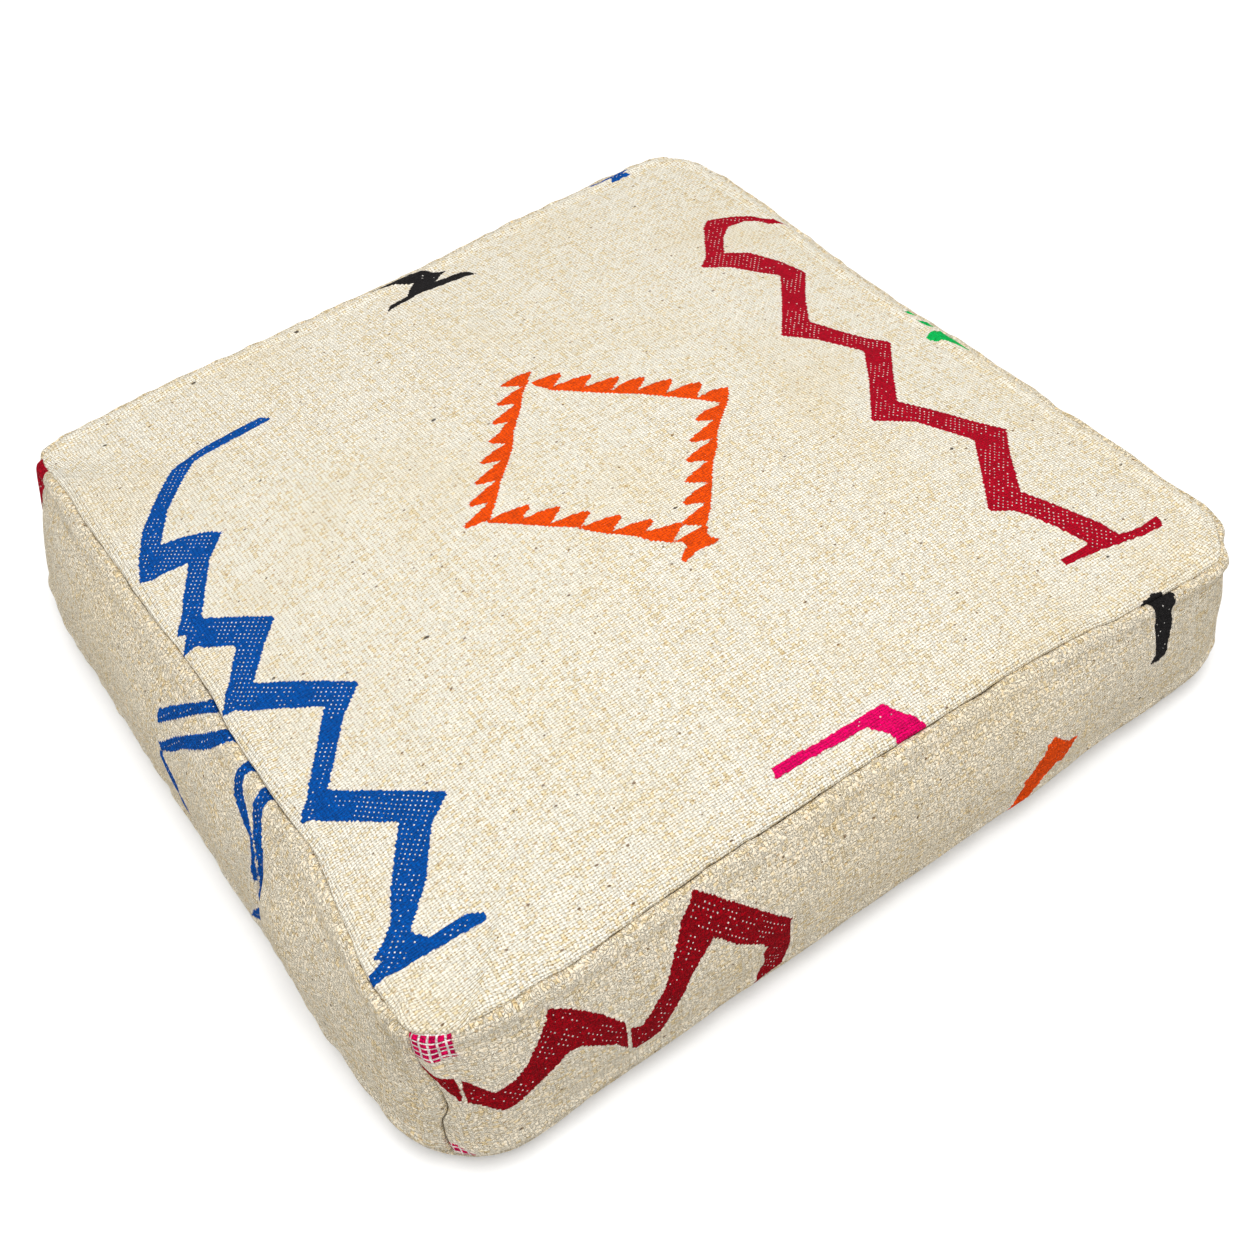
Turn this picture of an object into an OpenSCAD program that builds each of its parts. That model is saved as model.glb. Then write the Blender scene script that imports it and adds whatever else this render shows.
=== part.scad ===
// Square floor pouf: a boxed cushion of handwoven wool.
// Six sewn cover pieces, a zip across the base, a cotton inner case and its filling.
// Millimetres, +Z up, front edge towards -Y, origin on the floor under the middle.

/* [Cover] */
// Width between the left and right top seams
cushion_w = 610; // [560:1:680]
// Depth between the front and back top seams
cushion_d = 600; // [550:1:670]
// Height of the top seam above the floor
seam_h = 115; // [95:1:150]
// Rise of the crown above the top seam
crown_h = 30; // [10:1:45]
// How squarely the crown fills its corners
crown_power = 2.6; // [2:0.1:4]
// Corner radius seen from above
corner_r = 40; // [34:1:48]
// How far the middle of each top seam is drawn in
edge_draw = 10; // [0:1:16]
// Outward swell of the side panels at mid height
side_bulge = 14; // [4:1:22]
// How far the base seam stands out past the top seam
base_flare = 15; // [4:1:22]
// Height of the base seam above the floor
base_seam_h = 15; // [13:0.5:20]
// Width of the rounded margin between the base seam and the flat base
foot_w = 30; // [24:1:36]
// Thickness of the wool cloth
wool_t = 3; // [2:0.1:3.4]
// Seam allowance, turned inwards
seam_allowance = 8; // [6:0.5:10]

/* [Hand-sewn corners] */
// Near left corner, moved along X
near_left_x = -17; // [-22:0.5:22]
// Near left corner, moved along Y
near_left_y = 8.5; // [-22:0.5:22]
// Near right corner, moved along X
near_right_x = 15.5; // [-22:0.5:22]
// Near right corner, moved along Y
near_right_y = 0; // [-22:0.5:22]
// Far right corner, moved along X
far_right_x = 6; // [-22:0.5:22]
// Far right corner, moved along Y
far_right_y = 0; // [-22:0.5:22]
// Far left corner, moved along X
far_left_x = 10; // [-22:0.5:22]
// Far left corner, moved along Y
far_left_y = -25.5; // [-28:0.5:22]
// Near left corner, top seam raised
near_left_rise = 0; // [-10:0.5:10]
// Near right corner, top seam raised
near_right_rise = -8; // [-10:0.5:10]
// Far right corner, top seam raised
far_right_rise = 7; // [-10:0.5:10]
// Far left corner, top seam raised
far_left_rise = 0; // [-10:0.5:10]

/* [Zip] */
// Distance from the left and right top seams to the ends of the opening in the base
slot_inset = 55; // [51:1:90]
// Distance from the middle of the base to the zip, towards the front
zip_place = 150; // [120:1:170]
// Opening between the two hems
zip_slot = 15; // [14:0.5:18]
// Width of each folded hem
hem_w = 14; // [12:0.5:18]
// Height of each folded hem
hem_h = 6; // [5.8:0.1:6.4]
// Width of the slope up to each hem's second layer
hem_slope = 4; // [2.5:0.5:6]
// Width of each tape
tape_w = 17; // [15:0.5:19]
// Thickness of each tape
tape_t = 0.7; // [0.5:0.05:0.9]
// Length over which each end of the opening closes
slot_end = 8; // [5:0.5:12]
// Tape left beyond each end of the opening
tape_tail = 12; // [6:0.5:14]
// Distance from one tooth to the next on the same tape
tooth_pitch = 4; // [3.5:0.1:5]
// Width of one tooth along the zip
tooth_w = 1.7; // [1:0.1:2]
// Height of the teeth
tooth_t = 2.6; // [2:0.1:2.8]
// Half width of the two rows of teeth together
teeth_half_w = 2.8; // [2.4:0.1:3]
// Width of the cord that carries the teeth
tooth_cord_w = 1.2; // [0.8:0.1:1.4]
// Length of each end stop
stop_len = 4; // [2:0.5:6]
// Height of each end stop
stop_t = 4.4; // [3.8:0.1:5]
// Width of each top stop
top_stop_w = 2; // [1.6:0.1:2.4]
// Length of one sewn stitch
stitch_len = 6; // [4:0.5:8]
// Distance from one stitch to the next
stitch_pitch = 10; // [8:0.5:14]
// Thickness of the sewing thread on the tape
stitch_t = 0.6; // [0.4:0.05:0.8]

/* [Slider] */
// Length of the slider
slider_len = 14; // [12:0.5:18]
// Width of the slider at its open end
slider_w = 12.6; // [12:0.1:13.4]
// Width of the slider at its closed end
slider_tail_w = 9.6; // [9:0.1:10.4]
// Thickness of each slider plate
slider_plate_t = 1.4; // [1:0.1:1.5]
// Length of the wedge that parts the teeth
wedge_len = 4; // [3:0.5:5]
// Width of the wedge
wedge_w = 3; // [2:0.1:3.4]
// Distance from the slider's open end to the wedge
wedge_inset = 1.5; // [1:0.1:2.5]
// Clear length inside the bail
bail_len = 3.2; // [2.8:0.1:3.6]
// Clear height inside the bail
bail_gap = 1.8; // [1.7:0.05:1.9]
// Thickness of the bail
bail_t = 1; // [0.8:0.1:1.1]
// Width of the bail
bail_w = 2.2; // [1.6:0.1:2.6]
// Distance of the hinge bar behind the slider's middle
bar_setback = 0.5; // [0:0.1:1.5]
// Diameter of the pull tab's hinge bar
tab_bar_d = 1.3; // [1.1:0.05:1.35]
// Length of the pull tab
tab_len = 26; // [18:1:34]
// Room left at the end of the opening when the tab is turned over
tab_room = 1; // [0.5:0.1:2]
// Width of the pull tab
tab_w = 8; // [7:0.1:8.8]
// Length of the eye that goes round the bail
tab_eye_len = 5; // [4.4:0.1:7]
// Width of the metal beside the eye
tab_arm_w = 1.6; // [1.2:0.1:2]
// Diameter of the hole at the tab's free end
tab_hole_d = 3.4; // [2:0.1:4.5]

/* [Inner case] */
// Thickness of the cotton case
case_t = 1.2; // [0.8:0.1:1.6]
// Corner radius of the case seen from above
case_corner_r = 64; // [58:1:72]
// Rounding of the case's upper edge
case_top_r = 40; // [39:1:45]
// Rounding of the case's lower edge
case_base_r = 30; // [26:1:34]
// Half width of the channel in the case that clears the zip
channel_half_w = 24; // [23:0.5:28]
// Width of each sloped side of that channel
channel_slope_w = 14; // [10:1:20]
// Width of the thread that closes the case
case_thread_w = 1.6; // [1:0.1:2]
// Thickness of the thread that closes the case
case_thread_t = 0.8; // [0.5:0.05:1]
// Thickness of the overlocking thread on the seam allowances
seam_thread_d = 2; // [1.4:0.1:2.2]

/* [Clearances] */
// Gap between two pieces that are sewn together
seam_gap = 0.3; // [0.2:0.05:0.5]
// Gap between layers that lie on each other
layer_gap = 0.3; // [0.2:0.05:0.5]
// Gap between the inner case and the side panels
case_side_gap = 1.5; // [1.2:0.1:3]
// Gap between the inner case and the top panel
case_top_gap = 2.5; // [2:0.1:5]
// Running clearance round the teeth, the tapes and the pull tab
zip_gap = 0.3; // [0.2:0.05:0.35]

/* [Smoothness] */
// Steps along the straight stretch of each edge of the cover
edge_steps = 8; // [6:2:10]
// Steps in half a corner
arc_steps = 2; // [2:1:3]
// Steps up a side panel
side_steps = 7; // [5:1:8]
// Distance between the rows of points across the base
base_row = 90; // [60:5:130]

/* [Hidden] */

half_w = cushion_w / 2;
half_d = cushion_d / 2;
// Distance from the top seam at which the crown's grid begins, and of the ring before it
crown_inset = corner_r * 7 / 8;
crown_ring_inset = corner_r * 2 / 5;
zip_y = -zip_place;
tape_z = hem_h + layer_gap + tape_t / 2;
channel_z = tooth_t / 2 + zip_gap;
slider_half_t = channel_z + slider_plate_t;
case_z = wool_t + layer_gap;
channel_rise = tape_z + slider_half_t + layer_gap - case_z;
filling_side_gap = case_thread_t + 3 * layer_gap;
slot_half_len = half_w - slot_inset - slot_end;
slider_rest_x = slot_half_len - tab_len - tab_room;
zip_length = 2 * slider_rest_x + slider_len;
// Length by which a cut runs past what it cuts
over_cut = 1;
// Rounding error allowed where two places are compared
rounding = 0.01;
wool_cream = [0.90, 0.85, 0.74];
cotton = [0.93, 0.92, 0.88];
thread_colour = [0.86, 0.80, 0.68];
zip_metal = [0.72, 0.60, 0.38];

// Shape of the whole cushion. Every soft piece is drawn square, then warped.

function lerp(a, b, f) = a + (b - a) * f;

function over_corners(near_left, near_right, far_right, far_left, p) =
  let (u = (p[0] / half_w + 1) / 2, w = (p[1] / half_d + 1) / 2)
  lerp(lerp(near_left, near_right, u), lerp(far_left, far_right, u), w);

// Share of the height between the base seam, 0, and the top seam, 1
function share_up(z) = max(0, min(1, (z - base_seam_h) / (seam_h - base_seam_h)));

function warp(p) = [
  p[0] + over_corners(near_left_x, near_right_x, far_right_x, far_left_x, p),
  p[1] + over_corners(near_left_y, near_right_y, far_right_y, far_left_y, p),
  p[2] + share_up(p[2]) * over_corners(near_left_rise, near_right_rise, far_right_rise, far_left_rise, p)
];

function warp_all(points) = [for (p = points) warp(p)];

// A station is a place along one edge: how far along its straight stretch, -1 to 1,
// and the angle round the corner, -45 to 45. The list runs anticlockwise seen from above.
function stations(places, last_corner = true) = concat(
  [for (i = [0:arc_steps - 1]) [places[0], -45 * (1 - i / arc_steps)]],
  [for (t = places) [t, 0]],
  last_corner ? [for (i = [1:arc_steps]) [places[len(places) - 1], 45 * i / arc_steps]] : []
);

function even_places(steps) = [for (i = [0:steps]) 2 * i / steps - 1];

// Distance along an edge and distance out from the middle, at an offset from the top seam.
// The slip moves a corner station sideways, away from the corner seam.
function edge_point(half_len, half_dist, r, st, off, draw, slip = 0) =
  let (turn = st[1] < 0 ? 1 : st[1] > 0 ? -1 : 0)
  [
    st[0] * (half_len - r) + (r + off) * sin(st[1]) + turn * slip * cos(st[1]),
    half_dist - r + (r + off) * cos(st[1]) - draw * (1 - st[0] * st[0]) - turn * slip * sin(st[1])
  ];

// Points on the edge of side 0 front, 1 right, 2 back, 3 left
function side_point(side, st, off, z, slip = 0, r = corner_r, draw = edge_draw) =
  let (
    along_x = side % 2 == 0,
    e = edge_point(along_x ? half_w : half_d, along_x ? half_d : half_w, r, st, off, draw, slip)
  )
  side == 0 ? [e[0], -e[1], z] : side == 1 ? [e[1], e[0], z]
    : side == 2 ? [-e[0], e[1], z] : [-e[1], -e[0], z];

function crown_share(across, along) =
  (1 - pow(min(1, abs(across)), crown_power)) * (1 - pow(min(1, abs(along)), crown_power));

// Height of the crown over an edge station, at an inset from the top seam
function crown_at(side, st, inset, r = corner_r) =
  let (p = side_point(side, st, -inset, 0, 0, r, 0))
  seam_h + crown_h * crown_share(p[0] / half_w, p[1] / half_d);

// Offset of the side panels' outer face at a station and a share of their height
function side_offset(st, share) =
  side_bulge * (st[1] == 0 ? 1 - pow(st[0], 4) : 0) * sin(180 * share) + base_flare * (1 - share);

// Meshes. A sheet is a grid of points with rings round it, once for each of its two faces.

function grid_faces(nx, ny) = [
  for (j = [0:ny - 2], i = [0:nx - 2])
    let (a = j * nx + i, b = a + 1, c = b + nx, d = a + nx)
    each [[a, b, c], [a, c, d]]
];

function strip_faces(inner, outer) = [
  for (i = [0:len(inner) - 2])
    each [[outer[i], outer[i + 1], inner[i + 1]], [outer[i], inner[i + 1], inner[i]]]
];

function closed(path) = concat(path, [path[0]]);

// The grid's edge, all the way round or without its last row
function round_path(nx, ny) = concat(
  [for (i = [0:nx - 1]) i],
  [for (j = [1:ny - 1]) j * nx + nx - 1],
  [for (i = [nx - 2:-1:0]) (ny - 1) * nx + i],
  [for (j = [ny - 2:-1:1]) j * nx]
);

function open_path(nx, ny) = concat(
  [for (j = [ny - 1:-1:0]) j * nx],
  [for (i = [1:nx - 1]) i],
  [for (j = [1:ny - 1]) j * nx + nx - 1]
);

function ring_path(first, count) = [for (i = [0:count - 1]) first + i];

function reversed(faces) = [for (f = faces) [f[2], f[1], f[0]]];

function shifted(faces, by) = [for (f = faces) [f[0] + by, f[1] + by, f[2] + by]];

function ringed_faces(nx, ny, rings, path, is_closed) =
  let (
    n = len(path),
    paths = concat([path], [for (k = [0:rings - 1]) ring_path(nx * ny + k * n, n)]),
    ends = [for (p = paths) is_closed ? closed(p) : p]
  )
  concat(grid_faces(nx, ny), [for (k = [0:rings - 1]) each strip_faces(ends[k], ends[k + 1])]);

// Two faces of a sheet and the wall round its border. The faces run anticlockwise
// seen from the outer side, unless the sheet is seen from below.
module sheet(outer, inner, faces, border, from_below = false) {
  n = len(outer);
  loop = closed(border);
  wall = [
    for (i = [0:len(border) - 1])
      each [[loop[i], loop[i + 1], loop[i + 1] + n], [loop[i], loop[i + 1] + n, loop[i] + n]]
  ];
  all_faces = concat(reversed(faces), shifted(faces, n), wall);
  polyhedron(warp_all(concat(outer, inner)), from_below ? reversed(all_faces) : all_faces);
}

// A patch between four edge lists: front, back, left and right
function patch(front, back, left, right) =
  let (
    nx = len(front),
    ny = len(left),
    x0 = front[0][0], x1 = front[nx - 1][0],
    y0 = left[0][1], y1 = left[ny - 1][1]
  )
  [
    for (j = [0:ny - 1], i = [0:nx - 1])
      let (u = (front[i][0] - x0) / (x1 - x0), w = (left[j][1] - y0) / (y1 - y0))
      lerp(front[i], back[i], w) + lerp(left[j], right[j], u)
        - lerp(lerp(front[0], front[nx - 1], u), lerp(back[0], back[nx - 1], u), w)
  ];

function flipped_x(points) = [for (p = points) [-p[0], p[1], p[2]]];

function flipped_y(points) = [for (p = points) [p[0], -p[1], p[2]]];

// Side panels

module side_panel(side) {
  st = stations(even_places(edge_steps));
  nx = len(st);
  ny = side_steps + 1;
  slant = wool_t / sqrt(2);
  function share(j) = j / side_steps;
  function height(j) = lerp(base_seam_h + seam_gap / 2, seam_h - seam_gap / 2, share(j));
  function at_corner(i) = i == 0 || i == nx - 1;
  function point(i, j, inwards, up, slip) =
    side_point(side, st[i], side_offset(st[i], share(j)) - inwards, height(j) + up,
      at_corner(i) ? seam_gap / 2 + slip : 0);
  function inner_rise(j) = j == 0 ? wool_t : j == ny - 1 ? -(1 + sqrt(2)) * wool_t : 0;
  function tip(i, j) = point(i, j, seam_allowance, j == ny - 1 ? -seam_allowance : 0, 0);
  function inner_tip(i, j) =
    j == ny - 1 ? point(i, j, seam_allowance - slant, -seam_allowance - slant, wool_t)
      : point(i, j, seam_allowance, j == 0 ? wool_t : 0, wool_t);
  path = round_path(nx, ny);
  outer = concat(
    [for (j = [0:ny - 1], i = [0:nx - 1]) point(i, j, 0, 0, 0)],
    [for (k = path) tip(k % nx, floor(k / nx))]
  );
  inner = concat(
    [for (j = [0:ny - 1], i = [0:nx - 1]) point(i, j, wool_t, inner_rise(j), wool_t)],
    [for (k = path) inner_tip(k % nx, floor(k / nx))]
  );
  sheet(outer, inner, ringed_faces(nx, ny, 1, path, true), ring_path(nx * ny, len(path)));
}

// The stations round a full loop: front, right, back, left, each without its last
function loop_stations(st_x, st_y) = [
  for (side = [0:3])
    let (st = side % 2 == 0 ? st_x : st_y)
    for (i = [0:len(st) - 2]) [side, st[i]]
];

function loop_ring(stops, off, z) = [for (s = stops) side_point(s[0], s[1], off, z)];

module top_panel() {
  st = stations(even_places(edge_steps));
  n = len(st);
  stops = loop_stations(st, st);
  slant = wool_t / sqrt(2);
  seam_z = seam_h + seam_gap / 2;
  function edge(side) = [for (s = st) side_point(side, s, -crown_inset, 0)];
  flat = patch(edge(0), flipped_y(edge(0)), flipped_x(edge(1)), edge(1));
  function across(i) = side_point(0, st[i], -crown_inset, 0, 0, corner_r, 0)[0] / half_w;
  function along(j) = side_point(1, st[j], -crown_inset, 0, 0, corner_r, 0)[1] / half_d;
  function crown(under) = [
    for (j = [0:n - 1], i = [0:n - 1])
      let (p = flat[j * n + i])
      [p[0], p[1], seam_h + crown_h * crown_share(across(i), along(j)) - under]
  ];
  function shoulder(under) = [
    for (s = stops)
      side_point(s[0], s[1], -crown_ring_inset, crown_at(s[0], s[1], crown_ring_inset) - under)
  ];
  outer = concat(
    crown(0),
    shoulder(0),
    loop_ring(stops, 0, seam_z),
    loop_ring(stops, -seam_allowance, seam_z - seam_allowance)
  );
  inner = concat(
    crown(wool_t),
    shoulder(wool_t),
    loop_ring(stops, -(1 + sqrt(2)) * wool_t, seam_z - wool_t),
    loop_ring(stops, -seam_allowance - slant, seam_z - seam_allowance + slant)
  );
  path = round_path(n, n);
  color(wool_cream)
    sheet(outer, inner, ringed_faces(n, n, 3, path, true), ring_path(n * n + 2 * len(path), len(path)));
}

module front_side_panel() {
  color(wool_cream) side_panel(0);
}

module right_side_panel() {
  color(wool_cream) side_panel(1);
}

module back_side_panel() {
  color(wool_cream) side_panel(2);
}

module left_side_panel() {
  color(wool_cream) side_panel(3);
}

// Base. Each of its two panels has three sewn edges and a folded hem along the zip.
// It is drawn with its sewn edges to the front, left and right, and turned if it lies behind.

function turned(points, half_turn) = half_turn ? [for (p = points) [-p[0], -p[1], p[2]]] : points;

module base_panel(hem_edge, half_turn) {
  straight_x = half_w - corner_r;
  straight_y = half_d - corner_r;
  ends = [slot_half_len, slot_half_len + slot_end];
  places_x = concat(
    [-1, -ends[1] / straight_x],
    [for (i = [0:edge_steps - 2]) lerp(-ends[0], ends[0], i / (edge_steps - 2)) / straight_x],
    [ends[1] / straight_x, 1]
  );
  edge_y = hem_edge - seam_gap / 2;
  hem_y = edge_y - hem_w;
  fold_y = hem_y - hem_slope;
  rows = max(2, round((fold_y + straight_y) / base_row));
  places_y = concat(
    [for (i = [0:rows]) lerp(-1, fold_y / straight_y, i / rows)],
    [hem_y / straight_y, edge_y / straight_y]
  );
  st_x = stations(places_x);
  st_y = stations(places_y, false);
  nx = len(st_x);
  ny = len(st_y);
  flat_off = base_flare - foot_w;
  left_x = side_point(1, st_y[ny - 1], flat_off, 0)[0];
  corner_x = side_point(0, st_x[nx - 1], flat_off, 0)[0];
  front = [for (s = st_x) side_point(0, s, flat_off, 0)];
  right = [for (s = st_y) side_point(1, s, flat_off, 0)];
  function edge_x(x) =
    abs(x) <= straight_x ? x
      : sign(x) * (straight_x + (abs(x) - straight_x) * (left_x - straight_x) / (corner_x - straight_x));
  function slot_y(x) = abs(x) <= ends[0] + rounding ? hem_edge - zip_slot / 2 : edge_y;
  hem = [for (p = front) [edge_x(p[0]), slot_y(p[0]), 0]];
  flat = patch(front, hem, flipped_x(right), right);
  path = open_path(nx, ny);
  function ring(off, z) = [
    for (k = path)
      let (i = k % nx, j = floor(k / nx))
      j == 0 ? side_point(0, st_x[i], off, z)
        : let (p = side_point(1, st_y[j], off, z)) [i == 0 ? -p[0] : p[0], p[1], z]
  ];
  function margin(angle, inwards) =
    let (
      nx_in = cos(angle) / foot_w,
      nz_in = sin(angle) / base_seam_h,
      size = inwards / norm([nx_in, nz_in])
    )
    ring(base_flare - foot_w * (1 - cos(angle)) - nx_in * size,
      base_seam_h * (1 - sin(angle)) + nz_in * size);
  seam_z = base_seam_h - seam_gap / 2;
  outer = concat(
    flat,
    margin(60, 0),
    margin(30, 0),
    ring(base_flare, seam_z),
    ring(base_flare - seam_allowance, seam_z)
  );
  inner = concat(
    [
      for (j = [0:ny - 1], i = [0:nx - 1])
        let (p = flat[j * nx + i])
        [p[0], p[1], j >= ny - 2 ? hem_h : wool_t]
    ],
    margin(60, wool_t),
    margin(30, wool_t),
    ring(base_flare - wool_t, seam_z - wool_t),
    ring(base_flare - seam_allowance, seam_z - wool_t)
  );
  n = len(path);
  first = nx * ny;
  border = concat(
    ring_path(first + 3 * n, n),
    [for (k = [2:-1:0]) first + k * n + n - 1],
    [for (i = [nx - 1:-1:0]) (ny - 1) * nx + i],
    [for (k = [0:2]) first + k * n]
  );
  faces = ringed_faces(nx, ny, 4, path, false);
  sheet(turned(outer, half_turn), turned(inner, half_turn), faces, border, true);
}

module bottom_panel() {
  color(wool_cream) base_panel(-zip_y, true);
}

module bottom_front_panel() {
  color(wool_cream) base_panel(zip_y, false);
}

// Sewing threads along the edges of the seam allowances

// A section of four points as [offset, height]: outwards, up, inwards and down from its middle
function diamond(middle, half) = [
  middle + [half, 0], middle + [0, half], middle - [half, 0], middle - [0, half]
];

// A closed tube with four sides, from a list of sections round a loop
module loop_tube(sections) {
  n = len(sections);
  faces = [
    for (i = [0:n - 1], k = [0:3])
      let (here = 4 * i, ahead = 4 * ((i + 1) % n), up = (k + 1) % 4, a = here + k, c = ahead + up)
      each [[a, here + up, c], [a, c, ahead + k]]
  ];
  polyhedron(warp_all([for (s = sections) each s]), faces);
}

module seam_tube(section) {
  st = stations(even_places(edge_steps));
  color(thread_colour)
    loop_tube([for (s = loop_stations(st, st)) [for (q = section) side_point(s[0], s[1], q[0], q[1])]]);
}

thread_inset = seam_allowance + seam_gap + seam_thread_d / 2;

module top_seam_thread() {
  seam_tube(diamond([-thread_inset, seam_h - seam_allowance], seam_thread_d / 2));
}

module base_seam_thread() {
  seam_tube(diamond([base_flare - thread_inset, base_seam_h], seam_thread_d / 2));
}

// A straight thread up the allowances of one corner seam
module corner_thread(side) {
  corner = stations(even_places(edge_steps))[0];
  margin = seam_thread_d + seam_gap;
  low = base_seam_h + wool_t + margin;
  high = seam_h - seam_allowance - wool_t - margin;
  function off_at(z) = base_flare * (1 - (z - base_seam_h) / (seam_h - base_seam_h)) - thread_inset;
  half = seam_thread_d / 2;
  points = [
    for (z = [low, high])
      each [
        side_point(side, corner, off_at(z) + half, z),
        side_point(side, corner, off_at(z), z, half),
        side_point(side, corner, off_at(z) - half, z),
        side_point(side, corner, off_at(z), z, -half)
      ]
  ];
  faces = [
    [0, 1, 2], [0, 2, 3], [4, 6, 5], [4, 7, 6],
    for (k = [0:3]) each [[k, k + 4, (k + 1) % 4 + 4], [k, (k + 1) % 4 + 4, (k + 1) % 4]]
  ];
  color(thread_colour) polyhedron(warp_all(points), faces);
}

module near_left_corner_thread() {
  corner_thread(0);
}

module near_right_corner_thread() {
  corner_thread(1);
}

module far_right_corner_thread() {
  corner_thread(2);
}

module far_left_corner_thread() {
  corner_thread(3);
}

// Zip, drawn along X about its own middle and turned with the base cloth

module in_zip_frame() {
  left = warp([-half_w, zip_y, 0]);
  right = warp([half_w, zip_y, 0]);
  middle = (left + right) / 2;
  translate([middle[0], middle[1], tape_z]) rotate([0, 0, atan2(right[1] - left[1], right[0] - left[0])])
    children();
}

tape_half_len = slot_half_len + slot_end + tape_tail;
teeth_start = stop_len - zip_length / 2;
wedge_x = slider_len / 2 - wedge_len - wedge_inset;
teeth_end = slider_rest_x + wedge_x - zip_gap;
slider_travel = slider_rest_x - teeth_start - slider_len / 2 - zip_gap;

module zip_tape(dir) {
  color("ivory") in_zip_frame()
    translate([-tape_half_len, dir > 0 ? teeth_half_w : -teeth_half_w - tape_w, -tape_t / 2])
      cube([2 * tape_half_len, tape_w, tape_t]);
}

module zip_tape_front() {
  zip_tape(-1);
}

module zip_tape_rear() {
  zip_tape(1);
}

// One row of teeth on its cord, drawn above the middle line
module tooth_row(shift) {
  root = teeth_half_w - tooth_cord_w;
  tip = zip_gap - root;
  count = floor((teeth_end - teeth_start - tooth_w - shift) / tooth_pitch);
  teeth = [
    for (i = [0:count])
      let (x = teeth_start + shift + i * tooth_pitch)
      each [[x, root], [x, tip], [x + tooth_w, tip], [x + tooth_w, root]]
  ];
  outline = concat(
    [[teeth_end, root], [teeth_end, teeth_half_w], [teeth_start, teeth_half_w], [teeth_start, root]],
    teeth
  );
  translate([0, 0, -tooth_t / 2]) linear_extrude(tooth_t) polygon(outline);
}

module zip_teeth_rear() {
  color("gainsboro") in_zip_frame() tooth_row(zip_gap);
}

module zip_teeth_front() {
  color("gainsboro") in_zip_frame() mirror([0, 1, 0]) tooth_row(zip_gap + tooth_pitch / 2);
}

// Outlines of the slider's plate and of the channel between its rails
function taper(tail_half, head_half, margin) = [
  [-slider_len / 2 - margin, -tail_half], [-slider_len / 6, -tail_half],
  [slider_len / 6, -head_half], [slider_len / 2 + margin, -head_half],
  [slider_len / 2 + margin, head_half], [slider_len / 6, head_half],
  [-slider_len / 6, tail_half], [-slider_len / 2 - margin, tail_half]
];

module slider_plate() {
  linear_extrude(slider_plate_t) polygon(taper(slider_tail_w / 2, slider_w / 2, 0));
}

module slider_rail() {
  tail = teeth_half_w + zip_gap;
  head = tail + wedge_w / 2;
  linear_extrude(channel_z - tape_t / 2 - zip_gap) difference() {
    polygon(taper(slider_tail_w / 2, slider_w / 2, 0));
    polygon(taper(tail, head, over_cut));
  }
}

bar_x = -bar_setback;
bar_z = -slider_half_t - bail_gap / 2;

module zip_slider() {
  color(zip_metal) in_zip_frame() translate([slider_rest_x, 0, 0]) {
    for (side = [0, 1]) mirror([0, 0, side]) {
      translate([0, 0, channel_z]) slider_plate();
      translate([0, 0, tape_t / 2 + zip_gap]) slider_rail();
    }
    translate([wedge_x, 0, -channel_z]) linear_extrude(2 * channel_z)
      polygon([[0, 0], [wedge_len, -wedge_w / 2], [wedge_len, wedge_w / 2]]);
    for (end = [0, 1])
      translate([bar_x + (end == 0 ? -bail_len / 2 - bail_t : bail_len / 2), -bail_w / 2,
        -slider_half_t - bail_gap - bail_t])
        cube([bail_t, bail_w, bail_gap + bail_t]);
    translate([bar_x - bail_len / 2 - bail_t, -bail_w / 2, -slider_half_t - bail_gap - bail_t])
      cube([bail_len + 2 * bail_t, bail_w, bail_t]);
  }
}

// The tab lies back over the closed teeth, towards -X
module zip_pull_tab() {
  eye_half = tab_w / 2 - tab_arm_w;
  color(zip_metal) in_zip_frame() translate([slider_rest_x + bar_x, 0, bar_z]) {
    rotate([90, 0, 0]) cylinder(h = tab_w, d = tab_bar_d, center = true, $fn = 32);
    difference() {
      translate([-tab_len, -tab_w / 2, -tab_bar_d / 2]) cube([tab_len, tab_w, tab_bar_d]);
      translate([-tab_eye_len, -eye_half, -tab_bar_d])
        cube([tab_eye_len + over_cut, 2 * eye_half, 2 * tab_bar_d]);
      translate([tab_hole_d - tab_len, 0, -tab_bar_d]) cylinder(h = 2 * tab_bar_d, d = tab_hole_d, $fn = 32);
    }
  }
}

module zip_top_stops() {
  color(zip_metal) in_zip_frame() for (dir = [0, 1]) mirror([0, dir, 0])
    translate([zip_length / 2 + zip_gap, teeth_half_w - top_stop_w, -stop_t / 2])
      cube([stop_len, top_stop_w, stop_t]);
}

module zip_bottom_stop() {
  color(zip_metal) in_zip_frame()
    translate([-zip_length / 2, -teeth_half_w, -stop_t / 2]) cube([stop_len, 2 * teeth_half_w, stop_t]);
}

// Topstitches that hold a tape to its hem
module zip_stitches(dir) {
  count = floor((2 * tape_half_len - stitch_len) / stitch_pitch);
  first = -(count - 1) * stitch_pitch / 2 - stitch_len / 2;
  middle = (zip_slot / 2 + teeth_half_w + tape_w) / 2;
  color(thread_colour) in_zip_frame() for (i = [0:count - 1])
    translate([first + i * stitch_pitch, dir * middle - stitch_t / 2, tape_t / 2])
      cube([stitch_len, stitch_t, stitch_t]);
}

module zip_stitch_front() {
  zip_stitches(-1);
}

module zip_stitch_rear() {
  zip_stitches(1);
}

// Inner case and filling. Both follow one shape, at a depth below the case's outer face.

case_offset = -wool_t - case_side_gap;
case_places_x = even_places(4);
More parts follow.
